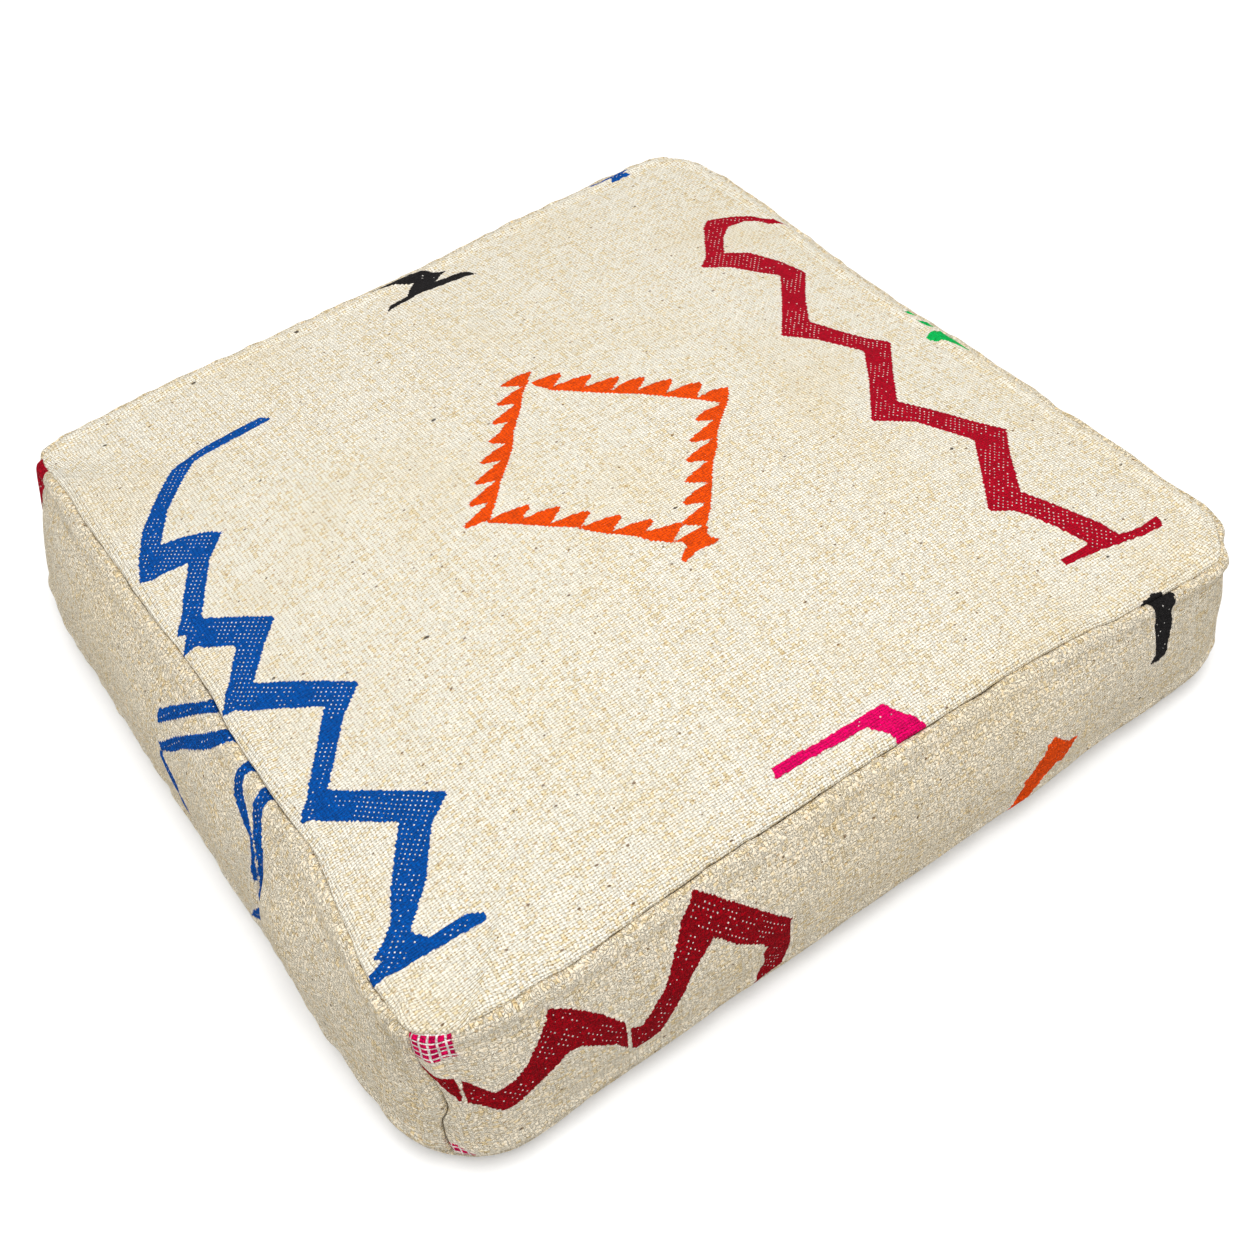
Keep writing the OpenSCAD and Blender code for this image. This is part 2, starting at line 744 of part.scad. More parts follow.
// Rows of the case from front to back, with the channel over the zip
case_places_y =
  let (straight = half_d - case_corner_r, edge = channel_half_w, foot = channel_half_w + channel_slope_w)
  concat(
    [-1],
    [for (d = [-foot, -edge, edge, foot]) (zip_y + d) / straight],
    [for (i = [1:4]) lerp((zip_y + foot) / straight, 1, i / 4)]
  );
case_x = stations(case_places_x);
case_y = stations(case_places_y);
case_nx = len(case_x);
case_ny = len(case_y);
case_mid_z = (seam_h + base_seam_h) / 2;

// Height that the channel over the zip adds to the case's base
function zip_rise(y) = abs(y - zip_y) <= channel_half_w + rounding ? channel_rise : 0;

function case_edge_off(st, z) =
  let (share = share_up(z)) side_offset(st, share) - base_flare * (1 - share) + case_offset;

// Back and left edges mirror the front and right ones, so that the rows stay level
function case_point(stop, off, z) =
  stop[0] < 2 ? side_point(stop[0], stop[1], off, z, 0, case_corner_r)
    : stop[0] == 2
      ? let (p = side_point(0, [-stop[1][0], -stop[1][1]], off, z, 0, case_corner_r)) [p[0], -p[1], z]
      : let (p = side_point(1, stop[1], off, z, 0, case_corner_r)) [-p[0], p[1], z];

function case_loop() = concat(
  [for (i = [0:case_nx - 2]) [0, case_x[i]]],
  [for (j = [0:case_ny - 2]) [1, case_y[j]]],
  [for (i = [0:case_nx - 2]) [2, case_x[i]]],
  [for (j = [case_ny - 1:-1:1]) [3, case_y[j]]]
);

function case_ring_top(angle, depth) = [
  for (s = case_loop())
    let (
      rim = crown_at(s[0], s[1], case_top_r - case_offset, case_corner_r) - wool_t - case_top_gap,
      z = rim - case_top_r * (1 - sin(angle)),
      off = case_edge_off(s[1], z) - case_top_r * (1 - cos(angle))
    )
    case_point(s, off - depth, z - depth * sin(angle))
];

function case_ring_base(angle, depth, up) = [
  for (s = case_loop())
    let (
      z = case_z + case_base_r * (1 - sin(angle)),
      off = case_edge_off(s[1], z) - case_base_r * (1 - cos(angle)),
      flat = case_point(s, 0, 0)
    )
    case_point(s, off - depth, z + (zip_rise(flat[1]) + up) * sin(angle))
];

function case_ring_mid(depth, z) = [for (s = case_loop()) case_point(s, case_edge_off(s[1], z) - depth, z)];

function case_patch(off) =
  let (
    front = [for (s = case_x) case_point([0, s], off, 0)],
    right = [for (s = case_y) case_point([1, s], off, 0)]
  )
  patch(front, flipped_y(front), flipped_x(right), right);

function case_crown(depth, down) =
  let (off = case_offset - case_top_r, flat = case_patch(off - depth))
  [
    for (j = [0:case_ny - 1], i = [0:case_nx - 1])
      let (
        p = flat[j * case_nx + i],
        across = side_point(0, case_x[i], off, 0, 0, case_corner_r, 0)[0] / half_w,
        along = side_point(1, case_y[j], off, 0, 0, case_corner_r, 0)[1] / half_d
      )
      [p[0], p[1], seam_h + crown_h * crown_share(across, along) - wool_t - case_top_gap - down]
  ];

function case_base(depth, up) =
  let (flat = case_patch(case_offset - case_base_r - depth))
  [
    for (j = [0:case_ny - 1], i = [0:case_nx - 1])
      let (p = flat[j * case_nx + i], row = case_point([1, case_y[j]], 0, 0)[1])
      [p[0], p[1], case_z + up + zip_rise(row)]
  ];

case_path = round_path(case_nx, case_ny);
case_border = ring_path(case_nx * case_ny + 3 * len(case_path), len(case_path));
case_faces = ringed_faces(case_nx, case_ny, 4, case_path, true);

// The flat faces may lie at a smaller depth than the sides
function case_top_points(depth, down, flat_depth) = concat(
  case_crown(flat_depth, down),
  case_ring_top(60, depth),
  case_ring_top(30, depth),
  case_ring_top(0, depth),
  case_ring_mid(depth, case_mid_z + seam_gap / 2)
);

function case_base_points(depth, up, flat_depth) = concat(
  case_base(flat_depth, up),
  case_ring_base(60, depth, up),
  case_ring_base(30, depth, up),
  case_ring_base(0, depth, up),
  case_ring_mid(depth, case_mid_z - seam_gap / 2)
);

module inner_case_top() {
  color(cotton)
    sheet(case_top_points(0, 0, 0), case_top_points(case_t, case_t, case_t), case_faces, case_border);
}

module inner_case_bottom() {
  color(cotton)
    sheet(case_base_points(0, 0, 0), case_base_points(case_t, case_t, case_t), case_faces, case_border, true);
}

// A flat thread inside the case, across the join of its two halves
module inner_case_thread() {
  outer = -case_t - layer_gap;
  inner = outer - case_thread_t;
  half = case_thread_w / 2;
  section = [[outer, -half], [outer, half], [inner, half], [inner, -half]];
  color(thread_colour) loop_tube([
    for (s = case_loop())
      [for (q = section) case_point(s, case_edge_off(s[1], case_mid_z) + q[0], case_mid_z + q[1])]
  ]);
}

module filling() {
  depth = case_t + filling_side_gap;
  down = case_t + layer_gap;
  top = case_top_points(depth, down, case_t);
  base = case_base_points(depth, down, case_t);
  n = len(top);
  join = [
    for (i = [0:len(case_border) - 1])
      let (a = case_border[i], b = case_border[(i + 1) % len(case_border)])
      each [[a, b, b + n], [a, b + n, a + n]]
  ];
  color("white") polyhedron(
    warp_all(concat(top, base)),
    concat(reversed(case_faces), shifted(case_faces, n), join)
  );
}

top_panel();
front_side_panel();
right_side_panel();
back_side_panel();
left_side_panel();
bottom_panel();
bottom_front_panel();
top_seam_thread();
base_seam_thread();
near_left_corner_thread();
near_right_corner_thread();
far_right_corner_thread();
far_left_corner_thread();
zip_tape_front();
zip_tape_rear();
zip_teeth_front();
zip_teeth_rear();
zip_slider();
zip_pull_tab();
zip_top_stops();
zip_bottom_stop();
zip_stitch_front();
zip_stitch_rear();
inner_case_top();
inner_case_bottom();
inner_case_thread();
filling();
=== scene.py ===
# %% [markdown]
# # A handwoven wool floor pouf
#
# This lesson dresses a sewn floor pouf. The construction came first: a fixed frame of solids holds every
# piece at its real size, and the zip already slides in it. Here the soft pieces get their real look: seven
# panels of handwoven wool that roll into their seams, pucker beside them and carry woven ornaments.
#
# Everything is in metres in the mesh and in millimetres in the words of this file, so `MM` stands between.

import math

import bmesh
import bpy
import numpy as np
from mathutils import Matrix, Vector, noise


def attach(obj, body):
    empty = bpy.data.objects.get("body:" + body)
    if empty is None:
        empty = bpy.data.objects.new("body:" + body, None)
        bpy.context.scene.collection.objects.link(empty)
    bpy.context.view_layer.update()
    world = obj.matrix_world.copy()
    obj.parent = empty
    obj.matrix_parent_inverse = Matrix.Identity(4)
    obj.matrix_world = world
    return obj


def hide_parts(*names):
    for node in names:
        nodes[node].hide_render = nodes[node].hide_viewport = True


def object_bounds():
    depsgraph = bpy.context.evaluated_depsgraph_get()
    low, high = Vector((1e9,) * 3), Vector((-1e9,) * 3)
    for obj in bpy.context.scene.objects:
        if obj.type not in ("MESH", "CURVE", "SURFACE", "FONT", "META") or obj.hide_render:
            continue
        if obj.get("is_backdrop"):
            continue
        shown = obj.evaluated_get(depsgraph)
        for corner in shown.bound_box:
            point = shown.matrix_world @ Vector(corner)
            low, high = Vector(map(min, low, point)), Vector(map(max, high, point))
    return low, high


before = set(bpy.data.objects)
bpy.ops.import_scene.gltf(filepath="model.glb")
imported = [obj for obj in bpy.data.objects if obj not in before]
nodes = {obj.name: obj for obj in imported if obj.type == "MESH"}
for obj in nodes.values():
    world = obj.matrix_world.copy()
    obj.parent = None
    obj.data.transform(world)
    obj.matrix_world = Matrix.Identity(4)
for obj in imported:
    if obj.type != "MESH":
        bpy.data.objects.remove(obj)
frame_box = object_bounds()
MM = 0.001
print("pieces in the frame:", len(nodes))
print("size of the frame, mm:", [round((b - a) / MM) for a, b in zip(*frame_box)])

# %% [markdown]
# ## Camera
#
# The photograph looks down on the near left corner of the pouf from standing height. A camera can be aimed
# by hand or by a constraint; here it is placed from four numbers, how far round, how high, how far away and
# how much it leans, because those four can be read, changed and compared with the photograph one at a time.

# %% Camera
def in_scene(name, data):
    """Puts a new object into the scene."""
    made = bpy.data.objects.new(name, data)
    bpy.context.scene.collection.objects.link(made)
    return made


view_round = math.radians(-36.864)
view_height = math.radians(47.131)
view_lean = math.radians(-0.598)
view_distance = 1.01619
view_target = Vector((-0.0506847, -0.1049139, 0.1))

towards_camera = Vector((
    math.sin(view_round) * math.cos(view_height),
    -math.cos(view_round) * math.cos(view_height),
    math.sin(view_height),
))
camera_data = bpy.data.cameras.new("camera")
camera_data.lens = 45.775
camera_data.sensor_width = 36
camera = in_scene("camera", camera_data)
camera.rotation_mode = "QUATERNION"
camera.location = view_target + towards_camera * view_distance
straight_up = (-towards_camera).to_track_quat("-Z", "Y")
camera.rotation_quaternion = Matrix.Rotation(view_lean, 3, towards_camera).to_quaternion() @ straight_up
bpy.context.scene.camera = camera
print("camera at", [round(c, 3) for c in camera.location])

# %% [markdown]
# ## The shape of the cushion
#
# The cover is cut square, but the filling pulls it about: the top crowns, the middle of each edge is drawn
# in, the sides swell and each hand-sewn corner ends up in its own place. All panels share these numbers, so
# they are written once, as functions that turn a place on the flat cloth into a place on the full cushion.
# Numpy works on all the points of a panel together, which keeps a mesh of thirty thousand points quick.

# %% Sizes of the cushion, in millimetres
half_w, half_d = 305.0, 300.0
seam_height = 115.0
crown_rise, crown_power = 26.0, 2.6
corner_radius = 40.0
edge_drawn_in = 10.0
side_swell = 14.0
base_flare = 15.0
base_seam_height = 15.0
foot_width = 30.0
zip_place = -150.0
zip_slot = 15.0
hem_height = 6.0
hem_width = 14.0
stitch_from_fold = 7.0
allowance = 8.0
cloth_thickness = 2.4
panel_height = seam_height - base_seam_height

# Each corner's own place, in the order near left, near right, far right, far left
corner_x = (-17.0, 15.5, 6.0, 10.0)
corner_y = (8.5, 0.0, 0.0, -25.5)
corner_rise = (0.0, -8.0, 7.0, 0.0)
# The near left corner is sewn to a point, and its foot stands further right and nearer than its top. The
# powers say how quickly that fades along the front and along the left side
near_left_base_x, near_left_base_y = 8.0, -6.0
front_fade, left_fade = 12, 6


def over_corners(values, x, y):
    """Blends four corner values over the plan."""
    u, w = (x / half_w + 1) / 2, (y / half_d + 1) / 2
    near = values[0] * (1 - u) + values[1] * u
    far = values[3] * (1 - u) + values[2] * u
    return near * (1 - w) + far * w


def onto_cushion(x, y, z):
    """Moves points of the square cushion to where the hand-sewn corners take them."""
    up = np.clip((z - base_seam_height) / panel_height, 0, 1)
    to_left, to_near = np.clip(0.5 - x / half_w / 2, 0, 1), np.clip(0.5 - y / half_d / 2, 0, 1)
    at_tip = to_left ** front_fade * to_near ** left_fade * (1 - up)
    return np.stack([
        x + over_corners(corner_x, x, y) + near_left_base_x * at_tip,
        y + over_corners(corner_y, x, y) + near_left_base_y * at_tip * to_near ** left_fade,
        z + up * over_corners(corner_rise, x, y),
    ], axis=-1)


print("cushion:", 2 * half_w, "by", 2 * half_d, "mm, seam at", seam_height, "mm")

# %% Places round the edge
SIDES = FRONT, RIGHT, BACK, LEFT = 0, 1, 2, 3
edge_power = 1.4


def half_length(side):
    """Half the length of a side. That of the next side is how far out this one stands."""
    return np.where(side % 2 == 0, half_w, half_d)


def round_the_sides(side, along, out):
    """Turns a distance along an edge and a distance out from the middle into x and y."""
    return np.choose(side, [along, out, -along, -out]), np.choose(side, [-out, along, out, -along])


def edge_place(side, run, offset, slide=0.0):
    """A place on the cushion's edge, at an offset outwards, with the direction outwards. A slide moves the
    end of the near left corner's two sides along the corner, towards the left side."""
    straight = half_length(side) - corner_radius
    t = np.clip(run / straight, -1, 1)
    turned = np.clip((abs(run) - straight) / corner_radius, 0, 1)
    reach = corner_radius + offset
    near_left = ((side == FRONT) & (run < 0)) | ((side == LEFT) & (run > 0))
    turn = (np.sign(run) * math.pi / 4 - near_left * slide / reach) * turned
    along = t * straight + reach * np.sin(turn)
    drawn_in = edge_drawn_in * (1 - t * t) ** edge_power
    out = half_length(side + 1) - corner_radius + reach * np.cos(turn) - drawn_in
    return *round_the_sides(side, along, out), *round_the_sides(side, np.sin(turn), np.cos(turn))


# %% [markdown]
# ## A seam that wanders
#
# A seam sewn by hand on loose cloth is never straight. On the photographed pouf it steps in and out by up to
# ten millimetres along the left edge and hardly at all along the front. The steps are listed as places along
# the edge, and a soft average between them keeps the line flowing.

# %% How the top seam wanders
wander_left = [(-285, -10), (-246, -10.5), (-206, -7.5), (-170, -6), (-86, -3.5), (-44, -5), (0, -5.5),
               (29, -2), (70, -2.5), (93, -3.5), (123, -5.5), (145, -7.5), (152, -8.5), (165, -6.5),
               (182, -3.5), (212, -2.5), (226, 0.5), (241, 1.5), (255, 0), (270, -2), (285, 4)]
wander_front = [(-293, -2), (-280, -6.5), (-267, -5), (-257, -2), (-237, -2.5), (-222, 0.5), (-172, -0.5),
                (-130, -1), (-62, 0.5), (37, 0.5), (132, -1.5), (220, 3.5), (277, 4.5)]
wander_right = [(-290, 2), (-180, -1), (-60, 1.5), (70, -1), (190, 2), (290, 0)]
wander_back = [(-290, 0), (-150, 1.5), (0, -1), (140, 1), (285, -2)]
wander_reach, wander_fade = 16.0, 25.0


def soft_average(stops, at):
    """A smooth curve close to the listed stops."""
    places, values = np.array(stops, float).T
    weight = np.exp(-((at[..., None] - places) / wander_reach) ** 2 / 2) + 1e-9
    near = np.interp(at, places, values)
    blended = (weight * values).sum(-1) / weight.sum(-1)
    return 0.5 * near + 0.5 * blended


def seam_wander(side, run):
    """How far out the top seam stands, down to nothing at the corners."""
    listed = wander_front, wander_right, wander_back, wander_left
    wander = np.choose(side, [soft_average(stops, run) for stops in listed])
    return wander * np.clip((half_length(side) - abs(run)) / wander_fade, 0, 1)


print("widest wander, mm:", max(abs(v) for _, v in wander_left))

# %% [markdown]
# ## A cushion fuller than its frame
#
# The frame's solids are plain, and the stuffed cover stands a few millimetres proud of them, most at the
# base and along the far edges. How far was read from the photograph's outline, a few places on each side,
# and an eased curve runs through those places. Where two sides meet their numbers agree.

# %% How far the cover stands proud
fuller_base = [
    [(-300, 1), (-240, 7), (-140, 12), (-60, 15.5), (20, 16), (100, 14), (190, 6), (300, 0)],
    [(-300, 0), (-160, 8), (60, 9), (200, 6), (300, 4)],
    [(-300, 4), (-150, 8), (60, 9), (200, 6), (300, -2)],
    [(-300, -2), (-190, 9), (-70, 12), (40, 11), (160, 6), (300, 1)],
]
fuller_top = [
    [(-300, 0), (300, 0)],
    [(-300, 0), (-160, 8), (-30, 9.5), (170, 6), (300, 4)],
    [(-300, 4), (-210, 6), (-100, 10), (10, 11), (130, 8), (300, 1.5)],
    [(-300, 1.5), (-240, 0), (300, 0)],
]
listed_half = 300


def eased(stops, at):
    """A smooth curve through the listed stops, level at each of them."""
    places, values = np.array(stops, float).T
    k = np.clip(np.searchsorted(places, at) - 1, 0, len(places) - 2)
    t = np.clip((at - places[k]) / (places[k + 1] - places[k]), 0, 1)
    return values[k] + (values[k + 1] - values[k]) * t * t * (3 - 2 * t)


def fuller(side, run, share):
    """How far the cover stands proud, at a share of its height."""
    at = run * listed_half / half_length(side)
    base = np.choose(side, [eased(stops, at) for stops in fuller_base])
    top = np.choose(side, [eased(stops, at) for stops in fuller_top])
    return base * (1 - share) + top * share


print("fullest at the base, mm:", max(v for stops in fuller_base for _, v in stops))

# %% [markdown]
# ## Cloth rolled into a seam
#
# Two panels meet face to face and turn inwards, and the seam allowance hides inside. Thick wool can't fold
# sharply, so each panel rolls into the groove on a small radius, a little more than the cloth's thickness.
# One function works this out in section: it follows the arc from the panel's own slope to the direction of
# the groove, and then runs straight along the allowance.

# %% The roll
roll_radius = 2.5
groove_gap = 0.3


def rolled(angle_in, angle_out, beyond, radius=roll_radius):
    """How far out and up the cloth has gone at a distance beyond the start of its roll."""
    turn = angle_out - angle_in
    hand = np.sign(turn)
    curved = np.minimum(beyond, radius * abs(turn))
    angle = angle_in + hand * curved / radius
    spare = np.maximum(beyond - radius * abs(turn), 0)
    out = hand * radius * (np.sin(angle) - np.sin(angle_in)) + spare * np.cos(angle_out)
    up = hand * radius * (np.cos(angle_in) - np.cos(angle)) + spare * np.sin(angle_out)
    return out, up


def roll_setback(angle_in, angle_out, radius=roll_radius):
    """How far before the seam's corner the roll begins."""
    return radius * np.tan(abs(angle_out - angle_in) / 2)


groove_top = math.radians(225)
groove_base = math.radians(180)
print("roll at the top seam, mm:", round(roll_radius * math.radians(120), 1))

# %% [markdown]
# ## The top panel's place
#
# Every point of the top panel is named by two numbers from -1 to 1 across the flat cloth. Points past 1
# belong to the roll and the seam allowance. The largest of the two numbers says which ring round the middle
# the point lies on, so the rings follow the seam and the lines stay along the weave.

# %% Rings across the plan
# How deep under the top, from the seam inwards, the roll, the pulled edge and the wandering seam reach
roll_depth, pull_depth, wander_depth = 30.0, 40.0, 45.0


def ring_of(a, b):
    """The ring a point lies on, and the side and run of the place where that ring's ray meets the edge."""
    ring = np.maximum(np.maximum(abs(a), abs(b)), 1e-6)
    side = np.where(abs(b) >= abs(a), np.where(b < 0, FRONT, BACK), np.where(a > 0, RIGHT, LEFT))
    run = np.choose(side, [a * half_w, b * half_d, -a * half_w, -b * half_d]) / ring
    return ring, side, run


def crown_height(a, b):
    rise = (1 - np.minimum(1, abs(a)) ** crown_power) * (1 - np.minimum(1, abs(b)) ** crown_power)
    return seam_height + crown_rise * rise


def top_place(a, b):
    """The top panel's places on the cushion, the cloth's own x and y, and the distance from the seam."""
    ring, side, run = ring_of(a, b)
    half_len = half_length(side)
    towards_end = np.minimum(1, abs(run / half_len))
    slope = np.arctan(crown_rise * crown_power / half_w * (1 - towards_end ** crown_power))
    into_groove = groove_top - 2 * math.pi
    inwards, beyond = np.maximum(1 - ring, 0) * half_w, np.maximum(ring - 1, 0) * half_w
    inset = inwards + roll_setback(-slope, into_groove) * np.exp(-inwards / roll_depth)
    share = 1 - inset / half_w
    edge_x, edge_y, out_x, out_y = edge_place(side, run, 0.0)
    pull = ((1 - share) * (edge_x * out_x + edge_y * out_y) - inset) * np.exp(-inwards / pull_depth)
    x, y = edge_x * share + out_x * pull, edge_y * share + out_y * pull
    square_x, square_y = round_the_sides(side, run / half_len, 1.0)
    z = crown_height(square_x * share, square_y * share)
    out, up = rolled(-slope, into_groove, beyond)
    shift = (seam_wander(side, run) + fuller(side, run, 1.0)) * np.exp(-inset / wander_depth) + out
    flat = np.stack([x + out_x * beyond, y + out_y * beyond], -1)
    return onto_cushion(x + out_x * shift, y + out_y * shift, z + up + groove_gap), flat, inwards


# %% [markdown]
# ## The side panels' place
#
# A side panel is named by a distance along it and a share of its height. It swells at mid height, fades to
# nothing at its corners, and leans out towards the base, where the weight rests. Its four edges roll into
# four seams.

# %% Places on a side panel
# The seam of the near left corner leans: how far it stands to the left at each share of its height
corner_lean = [(0, 3), (0.12, 5), (0.25, 5), (0.4, -1), (0.52, 0), (0.62, 3), (0.75, 10), (0.85, 14), (1, 15)]
arc_length = (corner_radius + base_flare / 2) * math.pi / 4
corner_turn = math.pi / 2

# Hollows and bulges of the left side, as place along, place up, their reach along and up, and their height
left_hollows = [
    (110, 52, 7, 26, -6.5), (88, 40, 22, 24, -5.0), (150, 60, 24, 26, 4.0), (30, 30, 26, 18, -2.5),
    (126, 62, 8, 8, -3.0), (140, 78, 8, 9, -3.0), (235, 45, 20, 40, -1.5), (-120, 40, 40, 30, -1.5),
]


def side_hollows(side, s, share):
    """How far the left side stands out at its hollows and bulges."""
    if side != LEFT:
        return 0.0
    total = sum(height * np.exp(-((s - along) / reach_along) ** 2 - ((share * 100 - up) / reach_up) ** 2)
                for along, up, reach_along, reach_up, height in left_hollows)
    return total * np.sin(math.pi * np.clip(share, 0, 1))


def side_swell_at(side, s):
    to_end = np.clip(abs(s) / (half_length(side) - corner_radius + arc_length), 0, 1)
    return side_swell * (1 - to_end ** 4) ** 2


def side_place(side, s, share, past_end=0.0, past_top=0.0, past_base=0.0):
    """A side panel's places on the cushion, the cloth's own x and y, and the distance from the two long
    seams. The three last numbers are millimetres beyond a roll's start."""
    straight = half_length(side) - corner_radius
    swell = side_swell_at(side, s)
    steep, lean = swell * math.pi / panel_height, base_flare / panel_height
    angle_top = math.pi / 2 + np.arctan(steep + lean)
    angle_base = -math.pi / 2 - np.arctan(steep - lean)
    set_top = roll_setback(angle_top, groove_top) / panel_height
    set_base = roll_setback(angle_base, -groove_base) / panel_height
    share = set_base + share * (1 - set_top - set_base)
    round_corner = straight + (abs(s) - straight) * corner_radius / arc_length
    run = np.sign(s) * np.where(abs(s) <= straight, abs(s), round_corner)
    offset = swell * np.sin(math.pi * share) + base_flare * (1 - share) + side_hollows(side, s, share)
    x, y, out_x, out_y = edge_place(side, run, offset, eased(corner_lean, share))
    out_top, up_top = rolled(angle_top, groove_top, past_top)
    out_base, up_base = rolled(angle_base, -groove_base, past_base)
    end_along, end_in = rolled(0.0, corner_turn, past_end)
    shift = out_top + out_base - end_in + seam_wander(side, run) * share ** 3 + fuller(side, run, share)
    z = base_seam_height + panel_height * share + up_top + up_base
    z = z - np.where(past_top > 0, groove_gap, 0) + np.where(past_base > 0, groove_gap, 0)
    forward = np.sign(s) * (end_along - np.where(past_end > 0, groove_gap, 0))
    placed = onto_cushion(x + out_x * shift - out_y * forward, y + out_y * shift + out_x * forward, z)
    flat = np.stack([s + np.sign(s) * past_end, share * panel_height + past_top - past_base], -1)
    return placed, flat, np.minimum(share, 1 - share) * panel_height


# %% [markdown]
# ## The base panels' place
#
# The base stands on the floor: flat in the middle, and turned up in a rounded margin to the base seam. It
# is cut in two along the zip, and each half ends in a hem folded back on itself, with a slot between the
# two hems for the zip's teeth. The middle lies square, so that the hems stay beside the straight zip, and
# the row of stitches draws a shallow groove into each hem.

# %% Places on a base panel
margin_share = 15.0 / half_w
margin_end = math.radians(19.7)
margin_cloth = 36.0
fold_radius = hem_height / 2
fold_length = math.pi * fold_radius
stitch_groove, groove_half = 0.8, 2.0
# The slot between the hems closes to a hair over its last millimetres, and the hems get shorter beside it
slot_margin, slot_taper, slot_closed = 55.0, 8.0, 0.15
hem_full, hem_taper, hem_lost = 258.0, 20.0, 0.8
# From this share of the way out the base follows the fuller sides
fuller_from = 0.6


def slot_edge(x):
    """Distance from the zip's line to the hem's edge."""
    closing = np.clip((abs(x) - (half_w - slot_margin - slot_taper)) / slot_taper, 0, 1)
    return zip_slot / 2 + (slot_closed - zip_slot / 2) * closing * closing * (3 - 2 * closing)


def base_place(a, row, behind):
    """A base panel's places on the cushion, the cloth's own x and y, and the distance from the seam. Its
    rows run from the hem's fold, 0, to the sewn edge, 1. Rows below 0 are millimetres of folded hem, and
    rings past 1 belong to the roll."""
    facing = 1 if behind else -1
    fold_start = (zip_place + facing * (slot_edge(a * half_w) + fold_radius)) / half_d
    inside = np.clip(row, 0, 1)
    b = fold_start + (facing - fold_start) * inside + facing * np.maximum(row - 1, 0)
    ring, side, run = ring_of(a, b)
    edge_x, edge_y, out_x, out_y = edge_place(side, run, 0.0)
    reach = edge_x * out_x + edge_y * out_y
    beyond = np.maximum(ring - 1, 0) * half_w
    share = np.minimum(ring, 1)
    square_x, square_y = a * half_w, b * half_d
    lie_x = square_x + (edge_x * share - square_x) * share ** 4
    lie_y = square_y + (edge_y * share - square_y) * share ** 4
    climb = np.clip(1 - (1 - share) / margin_share, 0, 1)
    angle = math.pi / 2 + (margin_end - math.pi / 2) * climb
    offset = base_flare - (base_flare + margin_share * reach) * (1 - np.cos(angle))
    push = np.where(climb > 0, offset + (1 - share) * reach, 0)
    push = push + fuller(side, run, 0.0) * np.clip((share - fuller_from) / (1 - fuller_from), 0, 1) ** 2
    angle_in = math.atan2(base_seam_height * math.cos(margin_end), foot_width * math.sin(margin_end))
    out, up = rolled(angle_in, groove_base, beyond)
    z = base_seam_height * (1 - np.sin(angle)) * (climb > 0) + up - np.where(beyond > 0, groove_gap, 0)
    into_hem = inside * abs(facing - fold_start) * half_d
    z = z + stitch_groove * np.exp(-((into_hem - stitch_from_fold) / groove_half) ** 2)
    spread = margin_cloth * climb + beyond
    folded = np.maximum(-row, 0)
    shorter = 1 - hem_lost * np.clip((abs(a) * half_w - hem_full) / hem_taper, 0, 1)
    folded = np.where(folded > fold_length, fold_length + (folded - fold_length) * shorter, folded)
    towards_zip, above = rolled(0.0, groove_base, folded, fold_radius)
    tilt_out, tilt_up = -np.cos(angle) / foot_width * climb, np.sin(angle) / base_seam_height
    size = np.hypot(tilt_out, tilt_up)
    tilted = above * tilt_out / size
    x = lie_x + out_x * (push + out) + out_x * tilted
    y = lie_y + out_y * (push + out) - facing * towards_zip + out_y * tilted * (side % 2)
    flat = np.stack([lie_x + out_x * spread, lie_y + out_y * spread - facing * folded], -1)
    return onto_cushion(x, y, z + above * tilt_up / size), flat, (1 - share) * half_w


print("the hems are", round(2 * float(slot_edge(np.array(0.0)))), "mm apart over the zip")

# %% [markdown]
# ## The woven ornaments
#
# The ornaments are the common ones of such a kilim: stepped zigzags, a lozenge with saw teeth, and small
# bars and blocks. They are woven in, row by row, with coloured wool. Painting them as an image would fix
# their sharpness, so each is an outline of a few corners in millimetres on its panel. The mesh then carries
# the distance to the nearest outline, and the material turns that distance into stepped rows of yarn.

# %% Colours of the dyed wool, as the photograph shows them
def from_screen(r, g, b):
    """A colour picked from a screen, 0 to 255, as the linear values a shader wants."""
    def linear(c):
        c = c / 255
        return c / 12.92 if c <= 0.04045 else ((c + 0.055) / 1.055) ** 2.4
    return linear(r), linear(g), linear(b)


dyes = {
    "blue": from_screen(0, 84, 172),
    "red": from_screen(188, 0, 34),
    "dark_red": from_screen(158, 0, 18),
    "orange": from_screen(255, 84, 4),
    "pink": from_screen(244, 0, 104),
    "pink_blocks": from_screen(226, 0, 86),
    "black": from_screen(34, 32, 32),
    "green": from_screen(4, 200, 92),
}
# Share of the warps that show as white dots in each ornament; above 1 the warps divide it into blocks
warp_dots = {"blue": 0.8, "red": 0.65, "dark_red": 0.5, "orange": 0.0, "pink": 0.1, "pink_blocks": 2.0,
             "black": 0.1, "green": 0.0}
print("dyes:", ", ".join(dyes))

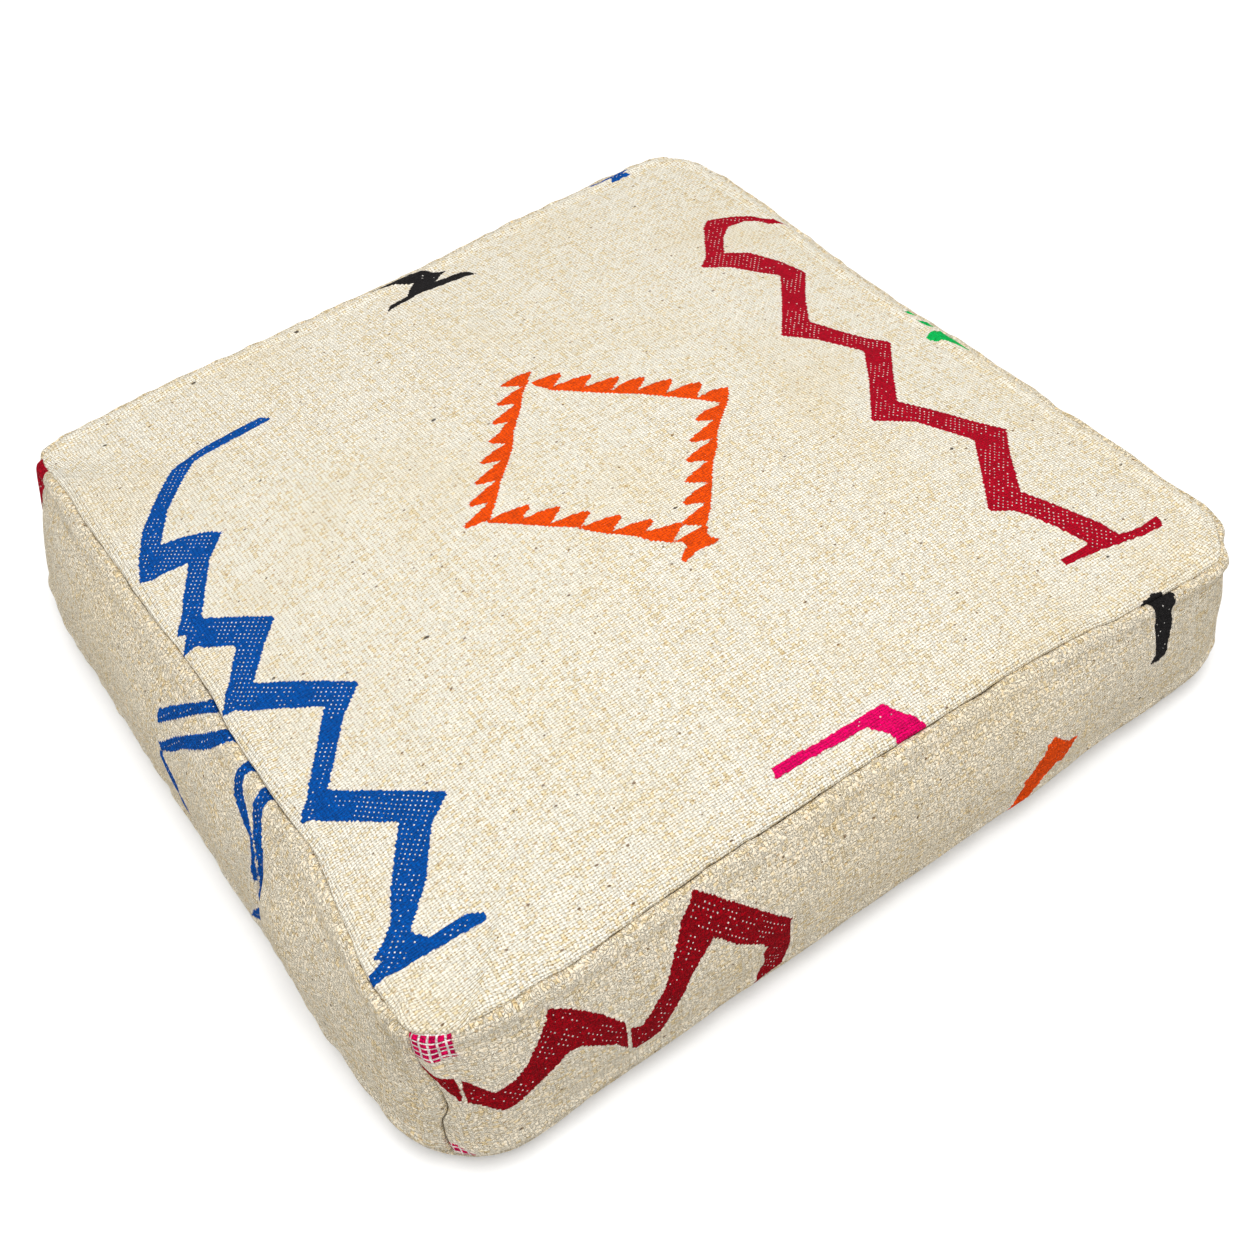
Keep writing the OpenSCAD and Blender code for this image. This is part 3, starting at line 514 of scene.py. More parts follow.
# %% Ornaments of the top panel, as corners in millimetres from the middle
blue_zigzag = [
    (-145, 177), (-150, 184), (-195, 184), (-222, 179), (-240, 164), (-262, 143), (-276, 122), (-284, 102),
    (-253, 94), (-286, 46), (-281, 42), (-291, 31), (-280, 29), (-262, 13), (-294, -27), (-284, -32),
    (-245, -66), (-296, -126), (-288, -130), (-254, -163), (-280, -196), (-290, -213), (-309, -226),
    (-305, -230), (-315, -231), (-320, -238), (-300, -239), (-280, -241), (-250, -243), (-247, -240),
    (-254, -234), (-279, -233), (-285, -224), (-277, -217), (-262, -204), (-256, -196), (-240, -176),
    (-222, -165), (-234, -154), (-262, -128), (-273, -117), (-240, -80), (-220, -65), (-240, -45),
    (-268, -20), (-250, 0), (-233, 15), (-245, 27), (-268, 48), (-250, 74), (-240, 88), (-224, 101),
    (-230, 108), (-246, 117), (-259, 122), (-242, 146), (-219, 166), (-207, 175), (-195, 176), (-170, 176),
]
red_zigzag = [
    (310, 150), (303, 165), (293, 176), (280, 182), (265, 186), (254, 188), (244, 181), (228, 160),
    (215, 143), (202, 133), (222, 122), (240, 103), (250, 95), (232, 73), (212, 50), (194, 30), (215, 14),
    (236, -14), (212, -44), (180, -80), (206, -97), (228, -132), (210, -155), (184, -188), (200, -197),
    (207, -208), (214, -222), (222, -243), (195, -243), (195, -248), (225, -251), (240, -254),
    (263, -258), (280, -258), (283, -250), (262, -251), (246, -248), (244, -236), (232, -212), (217, -186),
    (240, -155), (259, -134), (245, -118), (225, -90), (212, -73), (235, -45), (263, -14), (250, -2),
    (237, 18), (226, 35), (245, 60), (272, 90), (265, 110), (250, 132), (232, 141), (247, 160),
    (262, 172), (280, 173), (290, 169), (299, 161), (304, 156),
]
pink_bar = [(-65, -264), (-62, -257), (-30, -259), (22, -260), (30, -274), (37, -287), (12, -288),
            (13, -281), (3, -267), (-20, -266)]
black_bird = [
    (-24, 284), (-14, 291), (0, 294), (14, 294), (24, 289), (37, 280), (45, 273), (54, 265), (46, 261),
    (41, 257), (37, 256), (49, 254), (60, 253), (65, 248), (67, 240), (60, 244), (51, 245), (44, 246),
    (33, 247), (23, 249), (15, 248), (4, 246), (-6, 245), (-14, 240), (-7, 249), (0, 251), (11, 252),
    (21, 264), (26, 268), (16, 273), (5, 279), (-8, 283),
]
blue_mark = [
    (214, 296), (223, 291), (231, 294), (235, 291), (232, 286), (238, 286), (244, 287), (253, 287),
    (250, 290), (248, 293), (256, 297), (262, 302), (245, 303), (228, 301),
]
black_mark_end = [(212, -302), (214, -296), (219, -295), (227, -294), (234, -296), (237, -302)]
green_marks = [
    [(303, 14), (308, 8), (314, 2), (318, 0), (315, 8), (309, 14)],
    [(303, 0), (309, -3), (315, -9), (319, -15), (313, -14), (306, -8)],
    [(292, -22), (298, -19), (306, -17), (316, -20), (318, -29), (312, -38), (314, -50), (309, -42),
     (305, -34), (302, -29), (297, -28)],
]


def saw_side(tips, notches, stem, towards):
    """One side of the lozenge: pointed teeth along a straight stem."""
    outline = [notches[0]]
    for (x, y), notch in zip(tips, notches[1:]):
        outline += [(x - 11 * towards, y + 4), (x, y + 1), (x - towards, y - 2), notch]
    return outline + stem


lozenge = [
    saw_side([(34, 82), (49, 67), (63, 53), (77, 42), (91, 29), (106, 15), (118, 0)],
             [(11, 87), (21, 73), (36, 59), (49, 44), (64, 33), (78, 19), (92, 3), (108, -12)],
             [(103, -11), (92, 1), (72, 20), (62, 30), (47, 42), (38, 50), (28, 60), (18, 70), (12, 82)], 1),
    saw_side([(76, -15), (59, -30), (45, -44), (32, -59), (18, -74), (7, -88)],
             [(106, -11), (87, -22), (75, -37), (58, -52), (45, -68), (32, -82), (17, -96)],
             [(18, -98), (30, -88), (38, -79), (47, -69), (58, -56), (70, -46), (80, -34), (97, -20),
              (108, -12)], -1),
    saw_side([(-61, -16), (-47, -29), (-34, -44), (-20, -59), (-6, -74), (7, -87)],
             [(-90, -10), (-73, -23), (-60, -38), (-47, -52), (-33, -67), (-17, -80), (-5, -95)],
             [(-8, -97), (-18, -88), (-25, -78), (-36, -68), (-45, -58), (-50, -50), (-62, -40), (-70, -32),
              (-80, -22), (-91, -12)], 1),
    saw_side([(-21, 81), (-35, 66), (-48, 51), (-64, 37), (-78, 23), (-92, 9), (-105, -5)],
             [(6, 88), (-10, 74), (-26, 61), (-40, 43), (-52, 31), (-65, 17), (-80, 3), (-90, -10)],
             [(-88, -10), (-78, -1), (-62, 15), (-48, 27), (-36, 39), (-28, 50), (-20, 58), (-10, 68),
              (0, 80), (8, 87)], -1),
    [(-8, 98), (0, 100), (12, 100), (20, 98), (14, 93), (9, 87), (5, 87), (0, 92)],
    [(-8, -97), (19, -96), (19, -99), (15, -103), (15, -107), (20, -112), (12, -112), (0, -111), (-11, -114),
     (-13, -111), (-7, -107), (-2, -104), (-3, -100)],
]
top_ornaments = [("blue", blue_zigzag), ("red", red_zigzag), ("pink", pink_bar), ("black", black_bird),
                 ("blue", blue_mark), ("black", black_mark_end)]
top_ornaments += [("orange", part) for part in lozenge] + [("green", part) for part in green_marks]
print("outlines on the top panel:", len(top_ornaments))

# %% Ornaments of the side panels, as millimetres along the panel and up it
front_ornaments = [
    ("dark_red", [(-303, 78), (-296, 71), (-289.6, 67), (-291.8, 48), (-296, 56), (-301, 68)]),
    ("dark_red", [
        (-287.8, 66), (-285, 63), (-275, 51), (-264, 54), (-255, 60), (-244, 73), (-238, 80), (-235, 86),
        (-222, 78), (-209, 65), (-197, 49), (-197.6, 36), (-198, 26), (-205, 37), (-213, 43), (-223, 51),
        (-231, 53), (-240, 48), (-250, 44), (-259, 40), (-269, 35), (-273, 36), (-280, 41), (-286, 44),
        (-290, 47),
    ]),
    ("dark_red", [
        (-195, 44), (-193, 42), (-188, 40), (-181, 47), (-171, 57), (-166, 65), (-160, 74), (-150, 87),
        (-138, 97), (-127, 87), (-111, 72), (-102, 63), (-86, 47), (-87, 38), (-89, 16), (-98, -8),
        (-116, -8), (-112, 7), (-109, 12), (-106, 20), (-107, 33), (-104, 36), (-108, 42), (-122, 53),
        (-132, 64), (-136, 68), (-146, 61), (-154, 54), (-161, 45), (-170, 34), (-177, 24), (-185, 21),
        (-193, 21), (-195.5, 25),
    ]),
    ("pink_blocks", [(-304, 99), (-282, 99), (-282, 82), (-304, 82)]),
    ("black", [
        (209, 106), (232, 106), (229, 96), (228, 86), (227, 75), (224, 65), (222, 55), (215, 53), (207, 55),
        (211, 60), (212, 66), (212, 80), (213, 89), (211, 96),
    ]),
    ("orange", [
        (120, 52), (125, 46), (133, 39), (141, 39), (137, 34), (133, 28), (129, 22), (124, 26), (119, 22),
        (117, 17), (112, 11), (105, 9), (98, 6), (84, 5), (94, 14), (96, 23), (95, 27), (101, 32), (106, 39),
        (111, 42), (113, 48),
    ]),
    ("pink_blocks", [(-306, 10), (-297, 10), (-292, 7), (-290, 2), (-300, 3)]),
]
left_ornaments = [
    ("blue", [(-40, 70), (-28, 79), (-17, 87), (-7, 93), (0, 98), (-2, 106), (8, 106), (13, 100), (4, 93),
              (-6, 86), (-18, 77), (-37, 62)]),
    ("blue", [(-33, 51), (-25, 57), (-15, 67), (-1, 77), (13, 87), (25, 96), (31, 106), (44, 106), (34, 93),
              (22, 83), (9, 74), (-1, 68), (-14, 57), (-27, 48)]),
    ("blue", [(-30, 46), (-26, 49), (-24, 45), (-15, 42), (-6, 39), (-1, 34), (-3, 30), (-11, 32), (-22, 38),
              (-29, 42)]),
    ("blue", [(-2, 32), (4, 30), (9, 23), (9, 15), (3, 18), (-1, 26)]),
    ("blue", [(59, 106), (69, 106), (67, 96), (69, 92), (73, 88), (81, 85), (88, 82), (97, 77), (103, 70),
              (105, 60), (105, 48), (103, 50), (100, 69), (94, 76), (84, 78), (73, 81), (64, 83), (61, 87),
              (59, 93)]),
    ("blue", [(83, 106), (93, 106), (95, 94), (98, 88), (103, 82), (109, 75), (112, 62), (114, 52),
              (114, 44), (111, 34), (107, 38), (107, 45), (107, 54), (106, 66), (102, 74), (94, 81),
              (88, 86), (85, 92)]),
    ("blue", [(95, 9), (100, 19), (109, 31), (116, 34), (115, 26), (103, 13)]),
    ("red", [(-302, 104), (-276, 104), (-271, 93), (-276, 84), (-281, 79), (-284, 66), (-287, 50), (-290, 34),
             (-296, 40), (-302, 60)]),
]
side_ornaments = [front_ornaments, [], [], left_ornaments]
print("outlines on the side panels:", sum(len(found) for found in side_ornaments))

# %% [markdown]
# ### How far from an outline
#
# For each point the nearest place on an outline is found edge by edge. The distance counts as positive
# inside the ornament and negative outside, and the direction in which it grows is kept as well, so that the
# material can step across it yarn by yarn.

# %% Distance to the nearest ornament
far_off = 30.0


def outline_distance(points, outline):
    """Distance to an outline, positive inside, and the direction in which it grows."""
    corners = np.array(outline, float)
    nearest = np.full(len(points), 1e9)
    away = np.zeros_like(points)
    inside = np.zeros(len(points), bool)
    for start, end in zip(corners, np.roll(corners, -1, 0)):
        step = end - start
        t = np.clip(((points - start) @ step) / max(step @ step, 1e-9), 0, 1)
        gap = points - start - t[:, None] * step
        length = np.hypot(*gap.T)
        closer = length < nearest
        nearest = np.where(closer, length, nearest)
        away = np.where(closer[:, None], gap, away)
        if start[1] != end[1]:
            crosses = (points[:, 1] < start[1]) != (points[:, 1] < end[1])
            across = start[0] + (points[:, 1] - start[1]) / (end[1] - start[1]) * step[0]
            inside ^= crosses & (points[:, 0] < across)
    hand = np.where(inside, 1.0, -1.0)
    direction = away / np.maximum(nearest, 1e-6)[:, None] * hand[:, None]
    return nearest * hand, direction


def ornament_field(points, ornaments):
    """For each point the distance to the nearest ornament, its direction, its dye and its share of dots."""
    count = len(points)
    distance, direction = np.full(count, -far_off), np.zeros((count, 3))
    dye, dots = np.ones((count, 4)), np.zeros(count)
    for name, outline in ornaments:
        corners = np.array(outline, float)
        near = ((points > corners.min(0) - far_off) & (points < corners.max(0) + far_off)).all(1)
        found, towards = outline_distance(points[near], outline)
        keep = found > distance[near]
        rows = np.flatnonzero(near)[keep]
        distance[rows], direction[rows, :2] = found[keep], towards[keep]
        dye[rows, :3], dots[rows] = dyes[name], warp_dots[name]
    return distance, direction, dye, dots


# %% [markdown]
# ## One way to make all seven panels
#
# A panel starts as a flat grid from `create_grid`. Cells that an ornament's outline crosses are subdivided
# once, so corners stay sharp. Then each point moves to its place on the cushion, small folds are added along
# the surface's own normals, and `solidify` gives the wool its thickness inwards.

# %% Lines across a panel
def lines_through(*stretches):
    """Places of grid lines, from stretches of (start, end, spacing)."""
    places = [np.array([stretches[0][0]])]
    for start, end, spacing in stretches:
        count = max(1, round(abs(end - start) / spacing))
        places.append(np.linspace(start, end, count + 1)[1:])
    return np.concatenate(places)


def mirrored(lines):
    """The same lines on both sides of the middle."""
    return np.concatenate([-lines[:0:-1], lines])


def flat_grid(lines_a, lines_b, facing_down=False):
    """A flat grid whose lines lie at the numbers that name the points of a panel."""
    bm = bmesh.new()
    bmesh.ops.create_grid(bm, x_segments=len(lines_a) - 1, y_segments=len(lines_b) - 1, size=1)
    if facing_down:
        bmesh.ops.reverse_faces(bm, faces=bm.faces[:])
    for v in bm.verts:
        for axis, lines in enumerate((lines_a, lines_b)):
            v.co[axis] = np.interp((v.co[axis] + 1) / 2 * (len(lines) - 1), range(len(lines)), lines)
    return bm


def grid_numbers(bm):
    return np.array([v.co[:2] for v in bm.verts]).T


# %% Small folds beside the seams
pucker_height, pucker_reach = 0.9, 14.0
ripple_height, ripple_size = 0.9, 95.0
# The ridge over the seam allowance and the hollow behind it, each by its distance from the seam and its width
ridge_height, ridge_place, ridge_width = 1.6, 6.5, 4.0
trough_share, trough_place, trough_width = 0.35, 15.0, 4.5
stitch_dents, dent_reach = 0.5, 3.5
corner_gathers, gather_reach = 0.9, 55.0


def soft_noise(points, scale):
    """Smooth noise from -1 to 1 at each point, with features about one scale wide."""
    return np.array([noise.noise(Vector(p)) for p in points / scale])


def small_folds(places, beside):
    """How far the cloth stands out: puckers across the seams, the ridge that the seam's allowance makes
    beneath the cloth beside it, and slow ripples elsewhere."""
    fine = soft_noise(places * [1, 1, 0.25], 11.0) + 0.6 * soft_noise(places * [1, 1, 0.3] + 40, 22.0)
    near_seam = np.exp(-beside / pucker_reach) * (1 - np.exp(-beside / 3.0))
    ridge = np.exp(-((beside - ridge_place) / ridge_width) ** 2) * (1 + 0.5 * soft_noise(places + 90, 30.0))
    ridge -= stitch_dents * np.maximum(soft_noise(places + 60, 8.0), 0) * np.exp(-beside / dent_reach)
    ridge -= trough_share * np.exp(-((beside - trough_place) / trough_width) ** 2)
    slow = soft_noise(places + 200, ripple_size) * (1 - np.exp(-beside / 30))
    from_corner = np.hypot(half_w - abs(places[:, 0]), half_d - abs(places[:, 1]))
    gathers = 1 + corner_gathers * np.exp(-(from_corner / gather_reach) ** 2)
    return pucker_height * fine * near_seam * 2 * gathers + ridge_height * ridge + ripple_height * slow


# %% [markdown]
# ## Filling the cover
#
# A full cushion swells between its seams, and its cloth, which is a little longer than the seams that gather
# it, puckers beside them. Sculpting that by hand takes skill; Cloth finds it by itself. A coarse copy of each
# panel is held along its seams, cut slightly larger where the seams gather it, and blown up gently for
# twenty frames. How far each point moved is kept, no further than a cap, and the fine panels read it from
# there, so their seams and ornaments stay where they are.

# %% Coarse copies that are held along their seams
swell_frames = 20
swell_cap = 8.0
gathered_width = 22.0
coarse_copies = {}


def mesh_of(name, bm):
    mesh = bpy.data.meshes.new(name)
    bm.to_mesh(mesh)
    bm.free()
    return mesh


def set_places(mesh, places):
    """Puts the points of a mesh at places given in millimetres."""
    mesh.vertices.foreach_set("co", (places * MM).astype(np.float32).ravel())
    mesh.update()


def coarse_copy(name, lines_a, lines_b, place, pressure):
    """A light copy of a panel with Cloth on it, ready to be blown up."""
    bm = flat_grid(lines_a, lines_b)
    a, b = grid_numbers(bm)
    held = [v.index for v in bm.verts if v.is_boundary]
    copy = in_scene(name, mesh_of(name, bm))
    start, flat, beside = place(a, b)
    set_places(copy.data, start)
    copy.vertex_groups.new(name="held").add(held, 1.0, "REPLACE")
    gathered = copy.vertex_groups.new(name="gathered")
    for index, weight in enumerate(np.exp(-(beside / gathered_width) ** 2)):
        gathered.add([index], float(weight), "REPLACE")
    cloth = copy.modifiers.new("swelling", "CLOTH")
    cloth.point_cache.frame_start, cloth.point_cache.frame_end = 1, swell_frames
    wanted = {
        "quality": 6, "mass": 0.3, "tension_stiffness": 15, "compression_stiffness": 15,
        "bending_stiffness": 0.3, "use_pressure": True, "uniform_pressure_force": pressure,
        "vertex_group_mass": "held", "vertex_group_shrink": "gathered",
        "shrink_min": -0.001, "shrink_max": -0.03,
    }
    for setting, value in wanted.items():
        setattr(cloth.settings, setting, value)
    cloth.settings.effector_weights.gravity = 0
    coarse_copies[name] = (copy, lines_a, lines_b, start, np.lexsort((a, b)))


# %% Blow them up and keep how far each point moved
swellings = {}


def blow_up():
    """Runs the frames once for all copies and keeps how far each point moved."""
    for frame_number in range(1, swell_frames + 1):
        bpy.context.scene.frame_set(frame_number)
    graph = bpy.context.evaluated_depsgraph_get()
    for name, (copy, lines_a, lines_b, start, order) in coarse_copies.items():
        ended = np.zeros(len(start) * 3, np.float32)
        copy.evaluated_get(graph).data.vertices.foreach_get("co", ended)
        move = ended.reshape(-1, 3) / MM - start
        length = np.linalg.norm(move, axis=1, keepdims=True)
        print(name, "moved", round(float(length.mean()), 1), "mm, at most", round(float(length.max()), 1))
        move = move * np.minimum(1, swell_cap / np.maximum(length, 1e-6))
        swellings[name] = (lines_a, lines_b, move[order].reshape(len(lines_b), len(lines_a), 3))


def swell_all():
    blow_up()
    for copy, *rest in coarse_copies.values():
        bpy.data.objects.remove(copy)
    bpy.context.scene.frame_set(1)


def spline_weights(t):
    """The shares of four lines in a row at a place between the middle two."""
    parts = (1 - t) ** 3, 3 * t ** 3 - 6 * t ** 2 + 4, -3 * t ** 3 + 3 * t ** 2 + 3 * t + 1, t ** 3
    return np.stack(parts) / 6


def swelling_at(name, a, b):
    """Reads a panel's swelling smoothly between the lines of its coarse copy."""
    if name not in swellings:
        return np.zeros((len(a), 3))
    lines_a, lines_b, moves = swellings[name]
    moves = np.pad(moves, ((2, 2), (2, 2), (0, 0)), mode="edge")
    at_a, at_b = (np.interp(at, lines, range(len(lines))) for at, lines in ((a, lines_a), (b, lines_b)))
    cell_a, cell_b = np.floor(at_a).astype(int), np.floor(at_b).astype(int)
    weights_a, weights_b = spline_weights(at_a - cell_a), spline_weights(at_b - cell_b)
    total = np.zeros((len(a), 3))
    for j in range(4):
        for i in range(4):
            total += (weights_a[i] * weights_b[j])[:, None] * moves[cell_b + 1 + j, cell_a + 1 + i]
    return total


# %% Make a panel
panels = {}
# Outlines within this distance of both ends of an edge divide it, and the swelling fades over the seam's own
subdivide_within, swell_fade = 4.0, 4.0
# In the space of the weave each panel lies this far behind the last, the top at 0, so no two are woven alike
cloth_apart = 0.37
# CAD pieces that the panels stand for
stands_for = {
    "wool_top": "top_panel", "wool_front_side": "front_side_panel", "wool_right_side": "right_side_panel",
    "wool_back_side": "back_side_panel", "wool_left_side": "left_side_panel",
    "wool_base_rear": "bottom_panel", "wool_base_front": "bottom_front_panel",
}


def make_panel(name, bm, place, ornaments, on_floor=False):
    """Places a grid on the cushion, adds its swelling, folds, ornaments and thickness."""
    def nearest_ornament(placed, flat):
        return ornament_field(placed[:, :2] if ornaments is top_ornaments else flat, ornaments)

    if ornaments:
        reach = nearest_ornament(*place(*grid_numbers(bm))[:2])[0]
        bm.verts.ensure_lookup_table()
        crossed = [e for e in bm.edges if max(abs(reach[v.index]) for v in e.verts) < subdivide_within]
        bmesh.ops.subdivide_edges(bm, edges=crossed, cuts=1, use_grid_fill=True)
    a, b = grid_numbers(bm)
    smooth, flat, beside = place(a, b)
    mesh = mesh_of(name, bm)
    placed = smooth + swelling_at(name, a, b) * (1 - np.exp(-beside / swell_fade))[:, None]
    set_places(mesh, placed)
    outwards = np.zeros(len(placed) * 3, np.float32)
    mesh.vertex_normals.foreach_get("vector", outwards)
    folds = small_folds(placed, beside)
    if on_floor:
        folds = folds * np.clip(placed[:, 2] / base_seam_height, 0, 1)
    set_places(mesh, placed + outwards.reshape(-1, 3) * folds[:, None])

    distance, direction, dye, dots = nearest_ornament(smooth, flat)
    cloth = np.column_stack([flat * MM, np.full(len(flat), cloth_apart * len(panels))])
    for label, kind, field, values in (
        ("cloth_place", "FLOAT_VECTOR", "vector", cloth),
        ("ornament_distance", "FLOAT", "value", distance),
        ("ornament_direction", "FLOAT_VECTOR", "vector", direction),
        ("ornament_dye", "FLOAT_COLOR", "color", dye),
        ("warp_dots", "FLOAT", "value", dots),
    ):
        mesh.attributes.new(label, kind, "POINT").data.foreach_set(field, values.astype(np.float32).ravel())

    mesh.shade_smooth()
    panel = in_scene(name, mesh)
    thickness = panel.modifiers.new("cloth thickness", "SOLIDIFY")
    thickness.thickness = cloth_thickness * MM
    thickness.offset = -1
    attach(panel, "pouf")
    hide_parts(stands_for[name])
    panels[name] = panel
    print(name, len(mesh.vertices), "points")


# %% Top panel
def seam_lines(roll):
    """Lines over a roll of that length and over the seam allowance, beyond the edge at 1."""
    rolled_up, end = 1 + roll / half_w, 1 + (roll + allowance) / half_w
    return (1, rolled_up, 1.2 / half_w), (rolled_up, end, 4 / half_w)


edge_zone = 1 - 24 / half_w
top_lines = mirrored(lines_through(
    (0, edge_zone, 3.6 / half_w), (edge_zone, 1, 1.8 / half_w), *seam_lines(7.2)))
coarse_lines = mirrored(lines_through((0, edge_zone, 7 / half_w), (edge_zone, 1, 5 / half_w)))
coarse_copy("wool_top", coarse_lines, coarse_lines, top_place, 4.0)

# %% Side panels
side_names = ["wool_front_side", "wool_right_side", "wool_back_side", "wool_left_side"]
roll_end = roll_radius * corner_turn
side_last = [float(half_length(side)) - corner_radius + arc_length - float(roll_setback(0.0, corner_turn))
             for side in SIDES]
height_lines = lines_through(
    (-allowance - 4, -4, 4), (-4, 0, 1.0), (0, 12, 1.6), (12, 86, 2.8), (86, 100, 1.5),
    (100, 106, 1.2), (106, 106 + allowance, 4))


def side_placer(side):
    """The place function of one side panel, from millimetres along it and hundredths of its height. What
    is past an end is millimetres of roll and allowance."""
    last = side_last[side]

    def place(s, h):
        placed, flat, beside = side_place(
            side, np.clip(s, -last, last), np.clip(h, 0, 100) / 100,
            np.maximum(abs(s) - last, 0), np.maximum(h - 100, 0), np.maximum(-h, 0))
        return placed, flat, np.minimum(beside, np.maximum(last - abs(s), 0))

    return place


for side, last in enumerate(side_last):
    coarse_along = mirrored(lines_through((0, last - 20, 6), (last - 20, last, 5)))
    coarse_copy(side_names[side], coarse_along, lines_through((0, 100, 5)), side_placer(side), 10.0)

# %% Swell, then make the fine panels
swell_all()
make_panel("wool_top", flat_grid(top_lines, top_lines), top_place, top_ornaments)
for side, last in enumerate(side_last):
    along_lines = mirrored(lines_through(
        (0, last - 20, 2.8), (last - 20, last, 1.8), (last, last + roll_end, 1.2),
        (last + roll_end, last + roll_end + allowance, 4)))
    grid = flat_grid(along_lines, height_lines)
    make_panel(side_names[side], grid, side_placer(side), side_ornaments[side])

# %% Base panels
base_across = mirrored(lines_through(
    (0, 0.72, 0.04), (0.72, 1 - margin_share, 6 / half_w), (1 - margin_share, 1, 1.0 / half_w),
    *seam_lines(6)))


def base_panel(name, behind):
    depth = half_d - (1 if behind else -1) * zip_place - zip_slot / 2 - fold_radius
    hem = 13 / depth
    rows = lines_through(
        (-fold_length - hem_width + 3, -fold_length, 3), (-fold_length, 0, 1.2),
        (0, hem, 1.1 / depth), (hem, 1 - 0.12, 0.05), (1 - 0.12, 1, 0.006), *seam_lines(6))

    def place(a, row):
        return base_place(a, row, behind)

    make_panel(name, flat_grid(base_across, rows, facing_down=behind), place, [], on_floor=True)


base_panel("wool_base_rear", True)
base_panel("wool_base_front", False)
print("panels:", len(panels))

# %% [markdown]
# ## Materials in nodes
#
# A finish is a small machine of nodes. The helpers below put one node down and wire its inputs in the same
# line, and they let sums and products be written as formulas, which keeps a material readable as a recipe.
# What several finishes share, such as the weave, is a node group that is built once and placed wherever it
# is needed, each time with its own numbers.

# %% Helpers for nodes
class Value:
    """The output of a node. A sum or a product of values becomes a Math node."""

    def __init__(self, tree, socket):
        self.tree, self.socket = tree, socket

    def maths(self, operation, *others):
        return put(self.tree, "Math", dict(enumerate([self, *others])), operation=operation)[0]

    def vector(self, operation, other):
        outputs = put(self.tree, "VectorMath", {0: self, 1: other}, operation=operation)
        return outputs["Value" if operation == "DOT_PRODUCT" else "Vector"]

    def scaled(self, factor):
        return put(self.tree, "VectorMath", {0: self, "Scale": factor}, operation="SCALE")["Vector"]

    def __add__(self, other):
        return self.maths("ADD", other)

    def __sub__(self, other):
        return self.maths("SUBTRACT", other)

    def __rsub__(self, other):
        return put(self.tree, "Math", {0: other, 1: self}, operation="SUBTRACT")[0]

    def __mul__(self, other):
        return self.maths("MULTIPLY", other)

    def __truediv__(self, other):
        return self.maths("DIVIDE", other)

    def __rtruediv__(self, other):
        return put(self.tree, "Math", {0: other, 1: self}, operation="DIVIDE")[0]


class Outputs:
    """The outputs of a node as values, by name or number."""

    def __init__(self, tree, node):
        self.tree, self.node = tree, node

    def __getitem__(self, key):
        return Value(self.tree, self.node.outputs[key])


def wire(tree, node, sockets):
    """Fills a node's inputs with numbers or with values of other nodes."""
    for key, value in sockets.items():
        if isinstance(value, Value):
            tree.links.new(value.socket, node.inputs[key])
        else:
            node.inputs[key].default_value = value
    return Outputs(tree, node)


def put(tree, kind, sockets=(), **settings):
    """Adds a node, sets it and fills its inputs."""
    node = tree.nodes.new("ShaderNode" + kind)
    for name, value in settings.items():
        setattr(node, name, value)
    return wire(tree, node, dict(sockets))


def noisy(place, scale, detail=2.0, **more):
    """Noise from 0 to 1, with about a scale of features in a metre."""
    return put(place.tree, "TexNoise", {"Vector": place, "Scale": scale, "Detail": detail, **more})["Fac"]


def shaken(place, scale, detail, reach):
    """How far noise moves each place."""
    found = put(place.tree, "TexNoise", {"Vector": place, "Scale": scale, "Detail": detail})["Color"]
    return found.vector("SUBTRACT", (0.5, 0.5, 0.5)).scaled(reach)


def colours(tree, factor, first, second, blend="MIX"):
    """Blends two colours, each a value or three numbers."""
    first, second = (colour if isinstance(colour, Value) else (*colour, 1) for colour in (first, second))
    sockets = {"Factor": factor, "A": first, "B": second}
    return put(tree, "Mix", sockets, data_type="RGBA", blend_type=blend)["Result"]


def ramped(value, low, high, to_low=0.0, to_high=1.0):
    """Spreads a value from one range smoothly over another."""
    sockets = {"Value": value, 1: low, 2: high, 3: to_low, 4: to_high}
    return put(value.tree, "MapRange", sockets, interpolation_type="SMOOTHSTEP")["Result"]


def make_group(name, inputs):
    """A node group with named inputs, each given as (name, kind, default)."""
    tree = bpy.data.node_groups.new(name, "ShaderNodeTree")
    for label, kind, default in inputs:
        socket = tree.interface.new_socket(label, in_out="INPUT", socket_type="NodeSocket" + kind)
        if default is not None:
            socket.default_value = default
    return tree, Outputs(tree, tree.nodes.new("NodeGroupInput"))


def close_group(tree, outputs):
    """Gives a group its named outputs, each as (name, kind, value)."""
    for label, kind, value in outputs:
        tree.interface.new_socket(label, in_out="OUTPUT", socket_type="NodeSocket" + kind)
    wire(tree, tree.nodes.new("NodeGroupOutput"), {label: value for label, kind, value in outputs})
    print(tree.name, "has", len(tree.nodes), "nodes")


def place_group(tree, group, **sockets):
    """Places a group; an input such as Fleck Size is written Fleck_Size."""
    named = {key.replace("_", " "): value for key, value in sockets.items()}
    return put(tree, "Group", named, node_tree=group)


def new_material(name):
    material = bpy.data.materials.new(name)
    material.use_nodes = True
    return material, material.node_tree


def dress(tree, sockets, height, strength, distance):
    """Fills the inputs of a material's shader, with a relief from a height."""
    bump = put(tree, "Bump", {"Strength": strength, "Distance": distance, "Height": height})["Normal"]
    wire(tree, tree.nodes["Principled BSDF"], {**sockets, "Normal": bump})


# %% [markdown]
# ### The weave
#
# A plain weave is a chequerboard: at each crossing either the weft or the warp lies on top. The group finds
# the crossing a point is in, bends both strands into rounded ridges, and lowers the place between four
# crossings, where the cloth is open. A little noise moves the whole lattice first, because yarn that was
# spun by hand is never even.

